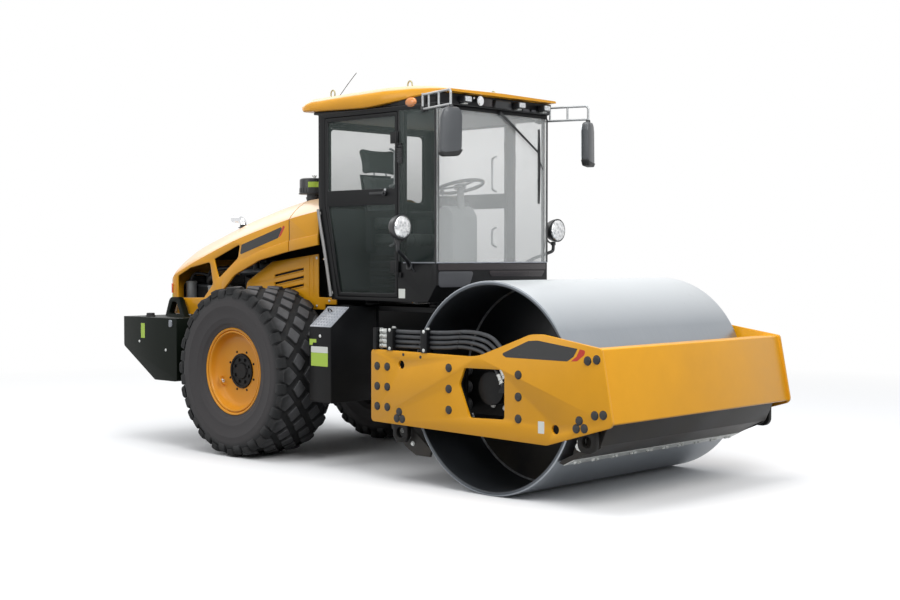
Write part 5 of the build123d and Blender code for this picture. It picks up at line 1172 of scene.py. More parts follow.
# -------------------------------------------------------------------- louvred side panels
# Folded sheet panels over the rails with three slanted slots each; every slot has a pressed lip that
# stands out below it, and a folded flange runs along the foot. They are bolted on and painted yellow.
PANEL_Y = 0.53              # outer face of a side panel
softened("side_panels", yellow, 0.0025)
rows = []
for z in (1.53, 1.461, 1.392):
    for side in (-1, 1):
        start, end = at(-3.023, side * PANEL_Y, z), at(-2.632, side * PANEL_Y, z + 0.064)
        low = Vector((0, 0, -0.0135))
        rows.append(tube([start + low, end + low], 0.0055, 2, 4))
        rows.append(tube([start - low, end - low], 0.0035, 2, 3))
for x in (-2.555, -2.5):
    rows += [tube([at(x, side * PANEL_Y, 1.37), at(x, side * PANEL_Y, 1.7)], 0.005, 2, 3)
             for side in (-1, 1)]
piece("louvre_lips", rows, yellow, "rear_frame", 60)
foam = sheet([(-3.08, 1.35, 0.01), (-2.59, 1.35, 0.01), (-2.59, 1.64, 0.01), (-2.9, 1.64, 0.05),
                        (-3.08, 1.56, 0.05)], 0.494, 0.502, 0.002)
piece("panel_foam", on_both(foam), black_rubber, "rear_frame")
rows = standing(dome(0.011, 0.008), [(-2.3, PANEL_Y, 1.325), (-2.46, PANEL_Y, 1.28), (-2.46, PANEL_Y, 1.69),
    (-3.36, PANEL_Y, 1.3)])
piece("panel_screws", rows, zinc, "rear_frame")


# -------------------------------------------------------------------- exhaust and air intake
# A bent tail pipe of chromed steel with a cut-back mouth, clamped over a stub on the hood, and a black
# intake bowl with a drip rim, held by a wing nut, on a rubber collar. A blank label is stuck on it.
softened("exhaust", chrome, 0.001, 60)
mouth = lathed([(0.0285, 0.0), (0.0285, 0.004)], 32)
sooty = Finish("soot", Roughness=0.9)
sooty.feed(Base_Color=sooty.mix(sooty.noise(40.0), tint("0C0C0C"), tint("1D1B19")))
piece("exhaust_mouth", [(mouth, facing(at(-3.7405, -0.42, 2.048), (-0.9966, 0, 0.083)))], sooty, "hood")
collar = turned([(0.0325, 0.0), (0.052, 0.0), (0.053, 0.004), (0.036, 0.012), (0.0355, 0.03),
                 (0.0325, 0.03)], 32, True)
foot_z = ridge(-3.591)[1]
piece("exhaust_collar", [(collar, here(-3.5905, -0.42, foot_z - 0.003))], black_rubber, "hood",
      40)
BOWL_X, BOWL_Y = -2.75, -0.3
intake = [(0.0, 2.246), (0.134, 2.246), (0.138, 2.249), (0.138, 2.257), (0.13, 2.26), (0.1295, 2.372),
          (0.126, 2.38), (0.11, 2.386), (0.04, 2.39), (0.02, 2.39), (0.0, 2.39)]
stub = [(0.06, 2.1), (0.068, 2.1), (0.068, 2.2), (0.074, 2.203), (0.074, 2.222), (0.068, 2.225),
        (0.068, 2.246), (0.06, 2.246)]
bowl_foot, bowl_top = here(BOWL_X, BOWL_Y, 0), here(BOWL_X, BOWL_Y, 2.389)
rib = plate(oblong(0.128, 2.263, 0.1325, 2.3, 0), -0.004, 0.004)
rows = [(turned(intake, 72), bowl_foot), (turned(stub, 40, True), bowl_foot)]
rows += [(rib, bowl_foot @ Matrix.Rotation(2 * pi * i / 24, 4, "Z")) for i in range(24)]


def moulded(name, deep, pale, gloss, spread, scale=6.0, grain=300.0, strength=0.5, **constants):
    """Moulded plastic: a slightly uneven colour and gloss, and a fine grain."""
    plastic = Finish(name, **constants)
    cloud = plastic.noise(scale, 4.0)
    plastic.feed(Base_Color=plastic.mix(cloud, tint(deep), tint(pale)),
                 Roughness=(gloss + cloud * spread).held())
    plastic.raise_by(plastic.noise(grain), 0.0003, strength)
    return plastic


gloss_black = moulded("moulded_black", "18191B", "26282B", 0.26, 0.2, strength=0.4, Specular_IOR_Level=0.5)
piece("intake_bowl", rows, gloss_black, "hood", 35, ("pre_cleaner",))
wing = plate([(0.004, 0.004, 0), (0.018, 0.012, 0.003), (0.026, 0.026, 0.005), (0.016, 0.026, 0.003),
              (0.004, 0.016, 0)], -0.002, 0.002)
rows = [(turned([(0.0, 0.0), (0.014, 0.0), (0.012, 0.014), (0.006, 0.026), (0.0, 0.028)], 20), bowl_top)]
rows += [(wing, bowl_top @ Matrix.Rotation(turn + 0.5, 4, "Z")) for turn in (0.0, pi)]
piece("intake_nut", rows, zinc, "hood")
patch = []
bm = bmesh.new()
for i in range(9):
    a = radians(-66 + 40 * i / 8)
    patch.append([bm.verts.new(at(BOWL_X + r * cos(a), BOWL_Y + r * sin(a), z)) for r, z in
                  ((0.1333, 2.305), (0.1333, 2.352), (0.129, 2.352), (0.129, 2.305))])
skinned(bm, patch)
piece("intake_label", mesh_of(bm), lime_foil, "hood")


# ==================================================================== cab shell and glass
# A welded shell of square tube and sheet in black enamel, on four rubber mounts. The panes are glued in
# with a black rubber bead; the doors hang in front on two hinges each and close against a round seal.
CAB_Y, CAB_FRONT, CAB_REAR = 0.671, -0.908, -2.272
PILLAR_Y = 0.6712            # outer face of the front pillars
SILL_Z, GLASS_TOP_Z, FLOOR_Z = 1.657, 2.85, 1.345
cab_black = enamel("cab_enamel", tint("111214"), gloss=0.38, dust=0.08, dust_top=1.7, shine=0.05, level=0.17)


def applied(obj):
    """The mesh of an object once its modifiers have acted on it."""
    return bpy.data.meshes.new_from_object(obj.evaluated_get(bpy.context.evaluated_depsgraph_get()))


def cut_away(mesh, boxes):
    """The mesh without what lies inside some boxes, each given by two opposite corners."""
    obj = bpy.data.objects.new("form", mesh)
    bpy.context.scene.collection.objects.link(obj)
    for low, high in boxes:
        bm = bmesh.new()
        bmesh.ops.create_cube(bm, size=1.0)
        for vert in bm.verts:
            vert.co = Vector([a + (b - a) * (c + 0.5) for a, b, c in zip(low, high, vert.co)])
        cutter = bpy.data.objects.new("cutter", mesh_of(bm))
        bpy.context.scene.collection.objects.link(cutter)
        cut = obj.modifiers.new("cut", "BOOLEAN")
        cut.operation, cut.solver, cut.object = "DIFFERENCE", "EXACT", cutter
        obj.data = applied(obj)
        obj.modifiers.clear()
        bpy.data.objects.remove(cutter)
    result = obj.data
    bpy.data.objects.remove(obj)
    return result


shell = frame["nodes"]["cab_frame"].data.copy()
corners = [(at(-0.9435, side * 0.6365 - 0.0005 * (1 - side), SILL_Z + 0.002),
            at(-0.9, side * 0.69, GLASS_TOP_Z - 0.003)) for side in (-1, 1)]
corners = [(Vector(map(min, a, b)), Vector(map(max, a, b))) for a, b in corners]
piece("cab_shell", bevelled(cut_away(shell, corners), 0.006), cab_black, "rear_frame", 32,
      ("cab_frame",))
softened("cab_floor", cab_black, 0.004)
side_glass = Finish("side_glass", Roughness=0.05, Specular_IOR_Level=0.25)
# Painted reflection: the glass colour goes from dark green low down to a paler grey towards the top, standing
# in for the sky reflected in it; its opacity falls towards the top.
high = side_glass.z.over(1.75, 0.85)
edge_on = side_glass.node("ShaderNodeLayerWeight", {}, {"Blend": 0.35}, 1)
smear = side_glass.noise(5.0, 4.0, 0.6, side_glass.stretched(1.0, 1.0, 0.4))
side_glass.feed(Base_Color=side_glass.mix((high * 0.9 + smear * 0.2).held(), tint("081B16"), tint("7E8B86")))
side_glass.feed(Alpha=(edge_on * 0.2 + smear * 0.04 + 0.25 - high * 0.17).held())
front_glass = Finish("front_glass", Roughness=0.05, Specular_IOR_Level=0.4)
smear = front_glass.noise(4.0, 4.0, 0.6, front_glass.stretched(1.0, 1.0, 0.4))
edge_on = front_glass.node("ShaderNodeLayerWeight", {}, {"Blend": 0.35}, 1)
# Painted reflection: the windscreen's pale colour, a little stronger towards the top, stands in for the
# bright surroundings reflected in the glass.
front_glass.feed(Base_Color=front_glass.mix(smear, tint("E4E7E6"), tint("F4F6F5")))
front_glass.feed(Alpha=(smear * 0.05 + edge_on * 0.1 + 0.19 + front_glass.z.over(1.9, 0.9) * 0.04).held())
QUARTER = ((-1.305, SILL_Z, 0.01), (-0.914, SILL_Z, 0.004), (-0.914, GLASS_TOP_Z, 0.004),
           (-1.305, GLASS_TOP_Z, 0.01))
PANE = 0.006
screen = plate(oblong(-0.669, SILL_Z, 0.669, GLASS_TOP_Z, 0.008),
               DRUM_X + CAB_FRONT - 0.002 - PANE, DRUM_X + CAB_FRONT - 0.002, (), 0.0, "yz")
piece("windscreen", screen, front_glass, "rear_frame")
back = plate(oblong(-0.56, 2.17, 0.56, 2.78, 0.04),
             DRUM_X + CAB_REAR + 0.018, DRUM_X + CAB_REAR + 0.018 + PANE, (), 0.0, "yz")
sides = on_both(sheet(QUARTER, CAB_Y + 0.001, CAB_Y + 0.001 + PANE))
piece("fixed_panes", [back, sides], side_glass, "rear_frame", 32, ("cab_glass",))


def ring_line(rows, radius, lie, across, sides=3):
    """A bead that runs round an outline, from rows of (a, b, corner radius), in one plane."""
    points = [{"xz": (a, across, b), "yz": (across, a, b), "xy": (a, b, across)}[lie]
              for a, b in cornered(rows)]
    return tube([Vector(p) for p in points], radius, 2, sides, True)


beads = [tube([at(CAB_FRONT - 0.004, side * 0.672, SILL_Z),
               at(CAB_FRONT - 0.004, side * 0.672, GLASS_TOP_Z)], 0.008, 2, 4) for side in (-1, 1)]
beads += [ring_line(oblong(-0.557, 2.173, 0.557, 2.777, 0.05), 0.009, "yz", DRUM_X + CAB_REAR + 0.014),
          on_both(tube([at(-1.306, CAB_Y + 0.003, SILL_Z), at(-1.306, CAB_Y + 0.003, GLASS_TOP_Z)], 0.005, 2,
                       4))]
piece("glass_beads", beads, black_rubber, "rear_frame", 60)
rows = [tube([at(-1.262, -CAB_Y - 0.001, SILL_Z - 0.004), at(-0.912, -CAB_Y - 0.001, SILL_Z - 0.004)], 0.006,
             2, 4), tube([at(-1.262, CAB_Y + 0.001, SILL_Z - 0.004),
                          at(-0.912, CAB_Y + 0.001, SILL_Z - 0.004)], 0.006, 2, 4),
        tube([at(CAB_FRONT + 0.002, -0.668, SILL_Z - 0.004), at(CAB_FRONT + 0.002, 0.668, SILL_Z - 0.004)],
             0.006, 2, 4)]
piece("sill_trim", rows, tread, "rear_frame", 60)


def across(rows, x, back, front, edge=0.0):
    """A plate that faces forward: its outline in y and z, its faces behind and before a place."""
    return plate(rows, DRUM_X + x + back, DRUM_X + x + front, (), edge, "yz")


apron_dark = enamel("apron_enamel", tint("272124"), gloss=0.18, dust=0.1, dust_top=1.8, peel=0.4, shine=0.2,
                    level=0.3)
apron = across(oblong(-0.65, 1.592, 0.646, 1.645, 0.01), CAB_FRONT, -0.001, 0.006, 0.002)
lower = across([(-0.03, 1.54, 0.01), (0.593, 1.532, 0.02), (0.646, 1.588, 0.01), (-0.075, 1.588, 0.02)],
               CAB_FRONT, -0.001, 0.005, 0.002)
piece("cab_apron", [apron, lower], apron_dark, "rear_frame")
grey_plastic = moulded("grey_plastic", "36373B", "46474B", 0.38, 0.2, 7.0, 350.0, Specular_IOR_Level=0.45)
nearer = across([(-0.645, 1.462, 0.03), (-0.3, 1.462, 0.05), (-0.24, 1.585, 0.02), (-0.645, 1.585, 0.02)],
                CAB_FRONT, -0.001, 0.006, 0.002)
piece("cab_apron_corner", nearer, grey_plastic, "rear_frame")
rows = oblong(-1.318, 1.372, -1.246, 1.446, 0.004)
piece("cab_label", on_both(sheet(rows, CAB_Y - FOIL, CAB_Y + FOIL)), white_foil, "rear_frame")
rail = [at(-2.262, 0, 2.095), at(-2.25, 0, 2.02), at(-2.18, 0, 1.74), at(-2.118, 0, 1.44),
        at(-2.106, 0, 1.372)]
rows = []
for side in (-1, 1):
    rows.append(tube([Vector((p.x, side * 0.686, p.z)) for p in rail], 0.013))
    for z, x in ((2.06, -2.256), (1.4, -2.11)):
        rows.append((lathed([(0.017, 0.0), (0.017, 0.006), (0.01, 0.01), (0.01, 0.018)], 18),
                     facing(at(x, side * 0.67, z), (0, side, 0))))
pale_grey = enamel("grip_enamel", tint("8F8E8C"), gloss=0.3, dust=0.25)
piece("grab_rails", rows, pale_grey, "rear_frame", 50)
mount = turned([(0.052, -0.0495), (0.058, -0.046), (0.06, -0.03), (0.052, -0.022), (0.06, -0.014),
                (0.058, -0.002), (0.052, 0.0)], 32, True)
rows = [(mount, here(x, y, FLOOR_Z)) for x in (-1.929, -1.18) for y in (-0.38, 0.38)]
piece("cab_mounts", rows, black_rubber, "rear_frame")


# -------------------------------------------------------------------- doors
# Each door is a folded steel frame with an upper and a lower pane, a lever on its rail, a lock, a rubber
# seal and two pin hinges. Two grab bars are bolted inside it, and the hinges have ribbed covers.
DOOR_FRONT, DOOR_LOW, DOOR_HIGH, DOOR_KINK = -1.328, 1.372, 2.85, 2.132


def door_line(inset, low=None, high=None):
    """Outline of a door drawn in from its opening, or of the part of it between two heights."""
    slant = (2.272 - 2.109) / (DOOR_KINK - FLOOR_Z)
    upper = CAB_REAR + 0.078 + inset
    bottom = DOOR_LOW + inset if low is None else low
    top = DOOR_HIGH - inset if high is None else high
    front = DOOR_FRONT - inset
    foot = upper + max(0.0, DOOR_KINK - bottom) * slant
    head = upper + max(0.0, DOOR_KINK - top) * slant
    rows = [(front, bottom, 0.02), (front, top, 0.02), (head, top, 0.02)]
    if bottom < DOOR_KINK < top:
        rows.append((upper, DOOR_KINK, 0.04))
    return rows + [(foot, bottom, 0.02)]


lever = turned([(0.0, 0.0), (0.02, 0.0), (0.022, 0.004), (0.022, 0.014), (0.017, 0.02), (0.0, 0.021)], 28)
for name, side in NAMED_SIDES:
    body = "door_" + name
    softened(body, cab_black, 0.004)
    panes = [sheet(door_line(0.034, low, high), side * 0.653, side * 0.659)
             for low, high in ((None, 2.119), (2.241, None))]
    piece("door_panes_" + name, panes, side_glass, body, 32, ("door_glass_" + name,))
    seals = [ring_line(from_drum(door_line(0.031, low, high)), 0.0055, "xz", side * 0.664)
             for low, high in ((None, 2.121), (2.239, None))]
    seals.append(ring_line(from_drum(door_line(0.012)), 0.005, "xz", side * 0.64))
    piece("door_seals_" + name, seals, black_rubber, body, 60)
    grip = at(-1.475, side * 0.672, 2.205)
    rows = [(lever, facing(grip, (0, side, 0)))]
    bar = plate([(-0.012, -0.01, 0.008), (0.15, -0.006, 0.006), (0.15, 0.012, 0.006),
                 (-0.012, 0.014, 0.008)], -0.006, 0.006, (), 0.003)
    rows.append((bar, Matrix.Translation(grip + Vector((0, side * 0.026, 0))) @ Matrix.Rotation(pi, 4, "Z")))
    piece("door_lever_" + name, rows, gloss_black, body, 35)
    lock = lathed([(0.013, 0.0), (0.013, 0.004), (0.009, 0.006)], 20)
    rows = [(lock, facing(at(-1.47, side * 0.671, 2.232), (0, side, 0)))]
    inner = side * 0.64
    for x, low, high in ((-1.45, 2.262, 2.56), (-1.45, 1.786, 1.95)):
        reach = inner - side * 0.055
        rows.append(tube([at(x, inner, low), at(x, reach, low + 0.01), at(x, reach, low + 0.06),
                          at(x, reach, high - 0.06), at(x, reach, high - 0.01), at(x, inner, high)], 0.009,
                         3, 5))
    piece("door_bars_" + name, rows, alloy, body, 50)
    rows = []
    for z in (1.62, 2.64):
        for rise in (-0.028, 0.0, 0.028):
            rows.append((dome(0.008, 0.006), facing(at(-1.365, side * 0.6765, z + rise), (0, side, 0))))
    piece("hinge_screws_" + name, rows, black, body)

rows = []
for side in (-1, 1):
    y = side * PILLAR_Y
    rows.append(sheet(oblong(-1.318, 2.435, -1.268, 2.58, 0.012), y, y + side * 0.012, 0.003))
    for i in range(7):
        z = 2.448 + 0.0195 * i
        rows.append(sheet(oblong(-1.316, z, -1.27, z + 0.01, 0.003), y, y + side * 0.024, 0.003))
piece("pillar_vents", rows, gloss_black, "rear_frame")


# -------------------------------------------------------------------- inside of the cab
# A pale moulded headliner, grey trim panels on the rear wall, a rubber mat, a sprung seat with fabric
# cushions and arm rests, and a console with two levers, a display and the steering wheel.
headliner = plate(oblong(CAB_REAR + DRUM_X + 0.04, -0.62, CAB_FRONT + DRUM_X - 0.05, 0.62, 0.05), 2.828,
                  2.848, (), 0.006, "xy")


def grained(name, deep, pale, scale, roughness):
    """Grained cab trim."""
    trim = Finish(name, Roughness=roughness)
    weave = trim.noise(scale)
    trim.feed(Base_Color=trim.mix(weave, tint(deep), tint(pale)))
    trim.raise_by(weave, 0.0006, 0.5)
    return trim


trim_grey = grained("trim_grey", "7D8180", "8F9392", 180.0, 0.75)
dark_trim = grained("dark_trim", "2E3335", "3D4345", 160.0, 0.7)
piece("headliner", headliner, trim_grey, "rear_frame")
wall = plate([(-0.6, 1.42, 0.04), (0.6, 1.42, 0.04), (0.6, 2.12, 0.06), (-0.6, 2.12, 0.06)], -0.006, 0.006,
             (), 0.004, "yz")
slant = here(-2.06, 0, FLOOR_Z) @ Matrix.Rotation(-0.204, 4, "Y") @ Matrix.Translation((0, 0, -FLOOR_Z))
mat = plate(oblong(-2.02 + DRUM_X, -0.6, -1.06 + DRUM_X, 0.6, 0.06), FLOOR_Z + 0.04, FLOOR_Z + 0.047, (),
            0.002, "xy")
piece("cab_trim", [(wall, slant), mat], dark_trim, "rear_frame")
softened("seat_base", dark_trim, 0.012)
SEAT_Y = -0.15
rows = []
for y in (SEAT_Y - 0.25, SEAT_Y + 0.25):
    rows.append(sheet(oblong(-1.966, 2.022, -1.594, 2.022 + 0.061, 0.03), y - 0.038, y + 0.038, 0.012))
piece("arm_pads", rows, black_rubber, "rear_frame")
for i in range(5):
    z = 1.402 + 0.066 * i
    bellows = sheet(oblong(-1.985, z, -1.565, z + 0.05, 0.02), -0.365, 0.065, 0.01)
    piece("seat_bellows_%d" % i, bellows, black_rubber, "rear_frame")

fabric = Finish("seat_fabric", Roughness=0.9, Sheen_Weight=0.25, Sheen_Roughness=0.5)
threads = fabric.node("ShaderNodeTexWave", {"bands_direction": "Y"},
                      {"Vector": fabric.where, "Scale": 130.0, "Distortion": 0.6}, 1)
cross = fabric.node("ShaderNodeTexWave", {"bands_direction": "Z"},
                    {"Vector": fabric.where, "Scale": 130.0, "Distortion": 0.6}, 1)
dull = fabric.noise(6.0, 4.0)
fabric.feed(Base_Color=fabric.mix((threads * 0.35 + cross * 0.35 + dull * 0.3).held(), tint("4E5454"),
                                  tint("7A8180")))
fabric.raise_by(threads * 0.5 + cross * 0.5, 0.0008, 0.6)


def pad(name, rows, low, high, cap, channels):
    """A stuffed cushion: its outline in x and z, the sides that hold it, how far it swells, and its seams."""
    form = sheet(rows, low, high, 0.012)
    obj = piece(name, form, fabric, "rear_frame", 180)
    scene = bpy.context.scene
    grid = obj.modifiers.new("grid", "REMESH")
    grid.mode, grid.voxel_size = "VOXEL", 0.006
    obj.data = applied(obj)
    obj.modifiers.clear()
    before = [vert.co.copy() for vert in obj.data.vertices]
    cloth = obj.modifiers.new("cloth", "CLOTH")
    cloth.settings.use_pressure, cloth.settings.uniform_pressure_force = True, 4.0
    cloth.settings.effector_weights.gravity = 0.0
    cloth.point_cache.frame_start, cloth.point_cache.frame_end = 1, 20
    for number in range(1, 21):
        scene.frame_set(number)
    blown = applied(obj)
    obj.modifiers.clear()
    scene.frame_set(1)
    for start, vert in zip(before, blown.vertices):
        move = vert.co - start
        vert.co = start + move * min(1.0, cap / max(move.length, 1e-6))
    obj.data = blown
    normals = [vert.normal.copy() for vert in obj.data.vertices]
    for vert, normal in zip(obj.data.vertices, normals):          # a sewn channel pulls the cover in
        depth = sum(max(0.0, 1 - abs(vert.co[axis] - place) / 0.012) for axis, place in channels)
        vert.co -= normal * depth * 0.008
    obj.data.shade_smooth()
    obj.data.materials.clear()
    obj.data.materials.append(fabric.material)
    smooth = obj.modifiers.new("smooth", "SUBSURF")
    smooth.levels = smooth.render_levels = 1
    obj.data = applied(obj)
    obj.modifiers.clear()
    return obj


SEAT = [(-2.004, 1.806, 0.03), (-1.538, 1.806, 0.03), (-1.538, 1.872, 0.04), (-2.004, 1.872, 0.03)]
BACK = [(-2.022, 1.924, 0.03), (-1.952, 1.924, 0.03), (-2.036, 2.385, 0.04), (-2.106, 2.385, 0.04)]
HEAD = [(-2.106, 2.402, 0.03), (-2.042, 2.402, 0.03), (-2.084, 2.612, 0.06), (-2.156, 2.612, 0.06)]
cushion = pad("seat_cushion", SEAT, SEAT_Y - 0.195, SEAT_Y + 0.195, 0.018,
              ((1, SEAT_Y - 0.1), (1, SEAT_Y + 0.1)))
back_pad = pad("back_cushion", BACK, SEAT_Y - 0.19, SEAT_Y + 0.19, 0.016,
               ((1, SEAT_Y - 0.1), (1, SEAT_Y + 0.1)))
head_pad = pad("head_cushion", HEAD, SEAT_Y - 0.186, SEAT_Y + 0.186, 0.012, ())
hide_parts("seat_cushions")
rows = [tube([at(-2.072, y, 2.39), at(-2.078, y, 2.43), at(-2.086, y, 2.47)], 0.006, 2, 4)
        for y in (-0.22, -0.08)]
shell = sheet([(-2.04, 1.905, 0.01), (-2.03, 1.905, 0.01), (-2.126, 2.395, 0.01), (-2.138, 2.395, 0.01)],
              SEAT_Y - 0.18, SEAT_Y + 0.18, 0.004)
piece("head_posts", rows, steel, "rear_frame", 60)
piece("seat_shell", shell, dark_trim, "rear_frame")


def block(x, y, z, corner=0.012, edge=0.006):
    """A moulded box with rounded corners, from its spans measured from the drum's axle."""
    return sheet(oblong(x[0], z[0], x[1], z[1], corner), y[0], y[1], edge)


WHEEL_HUB = at(-1.14, SEAT_Y, 2.265)
lean = facing(WHEEL_HUB, (-0.25, 0, 0.97))
rim_line = [Vector((0.19 * cos(2 * pi * i / 40), 0.19 * sin(2 * pi * i / 40), 0)) for i in range(40)]
rows = [(tube(rim_line, 0.0145, 2, 6, True), lean), (turned([(0.0, -0.015), (0.048, -0.015), (0.05, 0.0),
    (0.046, 0.016), (0.0, 0.02)], 32), lean)]
for turn in (90, 210, 330):
    spoke = plate([(0.03, -0.022, 0.004), (0.182, -0.012, 0.004), (0.182, 0.012, 0.004),
                   (0.03, 0.022, 0.004)], -0.005, 0.005, (), 0.002, "xy")
    rows.append((spoke, lean @ Matrix.Rotation(radians(turn), 4, "Z")))
piece("steering_wheel", rows, gloss_black, "rear_frame", 45)
column = [(-1.298, 1.386, 0.02), (-1.082, 1.386, 0.02), (-1.082, 2.03, 0.06), (-1.14, 2.108, 0.04),
          (-1.24, 2.108, 0.06), (-1.298, 1.76, 0.08)]
rows = [sheet(column, SEAT_Y - 0.148, SEAT_Y + 0.148, 0.014),
        (turned([(0.03, 0.0), (0.03, 0.1), (0.024, 0.17), (0.02, 0.19), (0.0, 0.19)], 28),
         facing(at(-1.13, SEAT_Y, 2.08), (-0.05, 0, 1.0)))]
piece("steering_column", rows, trim_grey, "rear_frame", 32, ("console",))
rows = [block((-1.236, -1.15), (SEAT_Y - 0.13, SEAT_Y - 0.03), (2.108, 2.19)),
        block((-1.236, -1.15), (SEAT_Y + 0.04, SEAT_Y + 0.13), (2.106, 2.14))]
for y, reach in ((-0.05, 0.11), (0.05, 0.14)):
    foot = at(-1.2, SEAT_Y + 2.2 * y, 2.1)
    rows.append(tube([foot, foot + Vector((-0.01, 0, 0.05)), foot + Vector((-0.02, y * 0.3, reach))], 0.006,
                     2, 4))
    rows.append((turned([(0.0, -0.02), (0.014, -0.016), (0.018, 0.0), (0.014, 0.016), (0.0, 0.02)], 20),
                 Matrix.Translation(foot + Vector((-0.02, y * 0.3, reach + 0.01)))))
piece("column_controls", rows, gloss_black, "rear_frame", 45)
dash = block((-0.975, -0.95), (-0.6, 0.6), (1.43, 1.64), 0.01, 0.004)
piece("dash_ledge", dash, dark_trim, "rear_frame")


# ==================================================================== cab roof and fascia
# A fibreglass roof moulding in gel coat, wider over the doors, with a soft shoulder and a narrow front
# lip. It is bolted over a black fascia that carries the lamps, the horn and the mirrors.
roof_yellow = enamel("roof_gel_coat", tint("E8A21A"), gloss=0.28, dust=0.06, dust_top=1.5, peel=0.5,
                     shine=0.2, level=0.3)
# Painted highlight: the roof's upward-facing shoulder and top turn cream.
sky_highlight(roof_yellow, 0.55)
ROOF_LOW = ((-2.456, 2.96), (-2.446, 2.925), (-2.425, 2.913), (-2.2, 2.906), (-1.96, 2.9), (-1.705, 2.894),
            (-1.56, 2.9), (-1.38, 2.918), (-1.19, 2.94), (-1.0, 2.956), (-0.8, 2.972))
ROOF_HIGH = ((-2.456, 2.962), (-2.44, 2.984), (-2.4, 3.006), (-2.34, 3.021), (-1.96, 3.034), (-1.7, 3.04),
             (-1.45, 3.046), (-1.2, 3.045), (-1.0, 3.024), (-0.9, 3.009), (-0.8, 2.99))
ROOF_HALF = ((-2.456, 0.69), (-2.44, 0.703), (-2.4, 0.712), (-2.34, 0.716), (-1.56, 0.716), (-1.48, 0.714),
             (-1.4, 0.704), (-1.23, 0.676), (-1.12, 0.662), (-1.0, 0.657), (-0.8, 0.657))


def between(rows, x):
    """The value at x on a line of (x, value) rows."""
    for (x0, a), (x1, b) in zip(rows, rows[1:]):
        if x <= x1:
            return a + (b - a) * max(0.0, x - x0) / (x1 - x0)
    return rows[-1][1]


bm = bmesh.new()
rings = []
stations = sorted({row[0] for row in ROOF_LOW + ROOF_HIGH + ROOF_HALF} | {-2.456 + 0.069 * i
    for i in range(25)})
for x in stations:
    low, high, half = between(ROOF_LOW, x), between(ROOF_HIGH, x), between(ROOF_HALF, x)
    depth = high - low
    radius = min(0.075, depth * 0.66)
    edge = min(0.01, depth * 0.25)
    ring = [(0.0, low), (half - 2 * edge, low), (half - 0.6 * edge, low + 0.3 * edge),
            (half, low + edge * 1.4)]
    for i in range(7):
        turn = radians(15 * i)
        ring.append((half - 0.004 - radius * (1 - cos(turn)), high - radius * (1 - sin(turn))))
    ring.append((0.0, high + 0.008))
    ring += [(-y, z) for y, z in reversed(ring[1:-1])]
    rings.append([bm.verts.new(at(x, y, z)) for y, z in ring])
skinned(bm, rings)
piece("roof_moulding", mesh_of(bm), roof_yellow, "rear_frame", 38, ("cab_roof",))
softened("roof_fascia", cab_black, 0.005)
under = ring_line([(DRUM_X - 2.3, -0.668, 0.03), (DRUM_X - 0.885, -0.668, 0.02),
                   (DRUM_X - 0.885, 0.668, 0.02), (DRUM_X - 2.3, 0.668, 0.03)], 0.006, "xy", 2.886)
piece("fascia_seal", under, black_rubber, "rear_frame", 60)
FASCIA_X = -0.868
amber = ribbed_lens("amber_lens", "E07A1E", "F59A3C", 60.0, 0.15)
lens = dome(0.04, 0.016)
rows = [(lens, facing(at(-1.178, side * CAB_Y, 2.909), (0, side, 0))
         @ Matrix.Diagonal((1.35, 0.8, 1.0, 1.0))) for side in (-1, 1)]
piece("side_markers", rows, amber, "rear_frame", 40)
clear = Finish("clear_lens", Roughness=0.08, Specular_IOR_Level=0.8, Coat_Weight=1.0, Coat_Roughness=0.03)
facet = clear.cells(70.0)
clear.feed(Base_Color=clear.mix(facet, tint("8D9296"), tint("F2F4F6")))
clear.feed(Metallic=(facet * 0.5).held())
clear.raise_by(clear.cells(70.0, "DISTANCE_TO_EDGE"), 0.003, 0.6)
softened("work_lamps", gloss_black, 0.008)
LAMP_Y = (-0.417, 0.227, 0.543)
rows = [plate(oblong(y - 0.036, 2.906, y + 0.036, 2.944, 0.008), DRUM_X - 0.801, DRUM_X - 0.7985, (), 0.001,
              "yz") for y in LAMP_Y]
piece("work_lamp_lenses", rows, clear, "rear_frame")
rows = [plate([(y - 0.03, 2.888, 0.004), (y + 0.03, 2.888, 0.004), (y + 0.018, 2.902, 0.002),
               (y - 0.018, 2.902, 0.002)], DRUM_X - 0.868, DRUM_X - 0.828, (), 0.002, "yz") for y in LAMP_Y]
piece("work_lamp_feet", rows, zinc, "rear_frame")
horn = [(0.012, 0.0), (0.012, 0.014), (0.02, 0.022), (0.036, 0.034), (0.038, 0.037), (0.033, 0.036),
        (0.016, 0.022), (0.01, 0.02), (0.0, 0.02)]
rows = [(turned(horn, 36), facing(at(FASCIA_X, -0.244, 2.925), (1, 0, 0))),
        (lathed([(0.01, 0.0), (0.01, 0.01), (0.006, 0.014)], 20),
         facing(at(FASCIA_X + 0.002, -0.29, 2.948), (1, 0, 0)))]
piece("horn", rows, chrome, "rear_frame", 40)
SLANTED = ((0.013, 0.0, 0.01), (0.15, 0.0, 0.01), (0.135, 0.066, 0.01), (0.0, 0.066, 0.01))
cover = across([(-0.209 + a, 2.892 + b, r) for a, b, r in SLANTED], FASCIA_X, -0.002, 0.01, 0.002)
piece("fascia_cover", cover, apron_dark, "rear_frame")
motor = across([(-0.058, 2.886, 0.01), (0.148, 2.886, 0.01), (0.138, 2.952, 0.02), (-0.05, 2.952, 0.02)],
               FASCIA_X, -0.004, 0.026, 0.008)
piece("wiper_motor_cover", motor, gloss_black, "rear_frame")
rows = [across([(y0, 2.888, 0.006), (y1, 2.888, 0.006), (y1 - 0.012, 2.908, 0.004),
                (y0 + 0.012, 2.908, 0.004)], FASCIA_X, -0.004, 0.006, 0.001)
        for y0, y1 in ((0.3, 0.395), (0.41, 0.48), (0.585, 0.64))]
piece("fascia_tabs", rows, grey_plastic, "rear_frame")


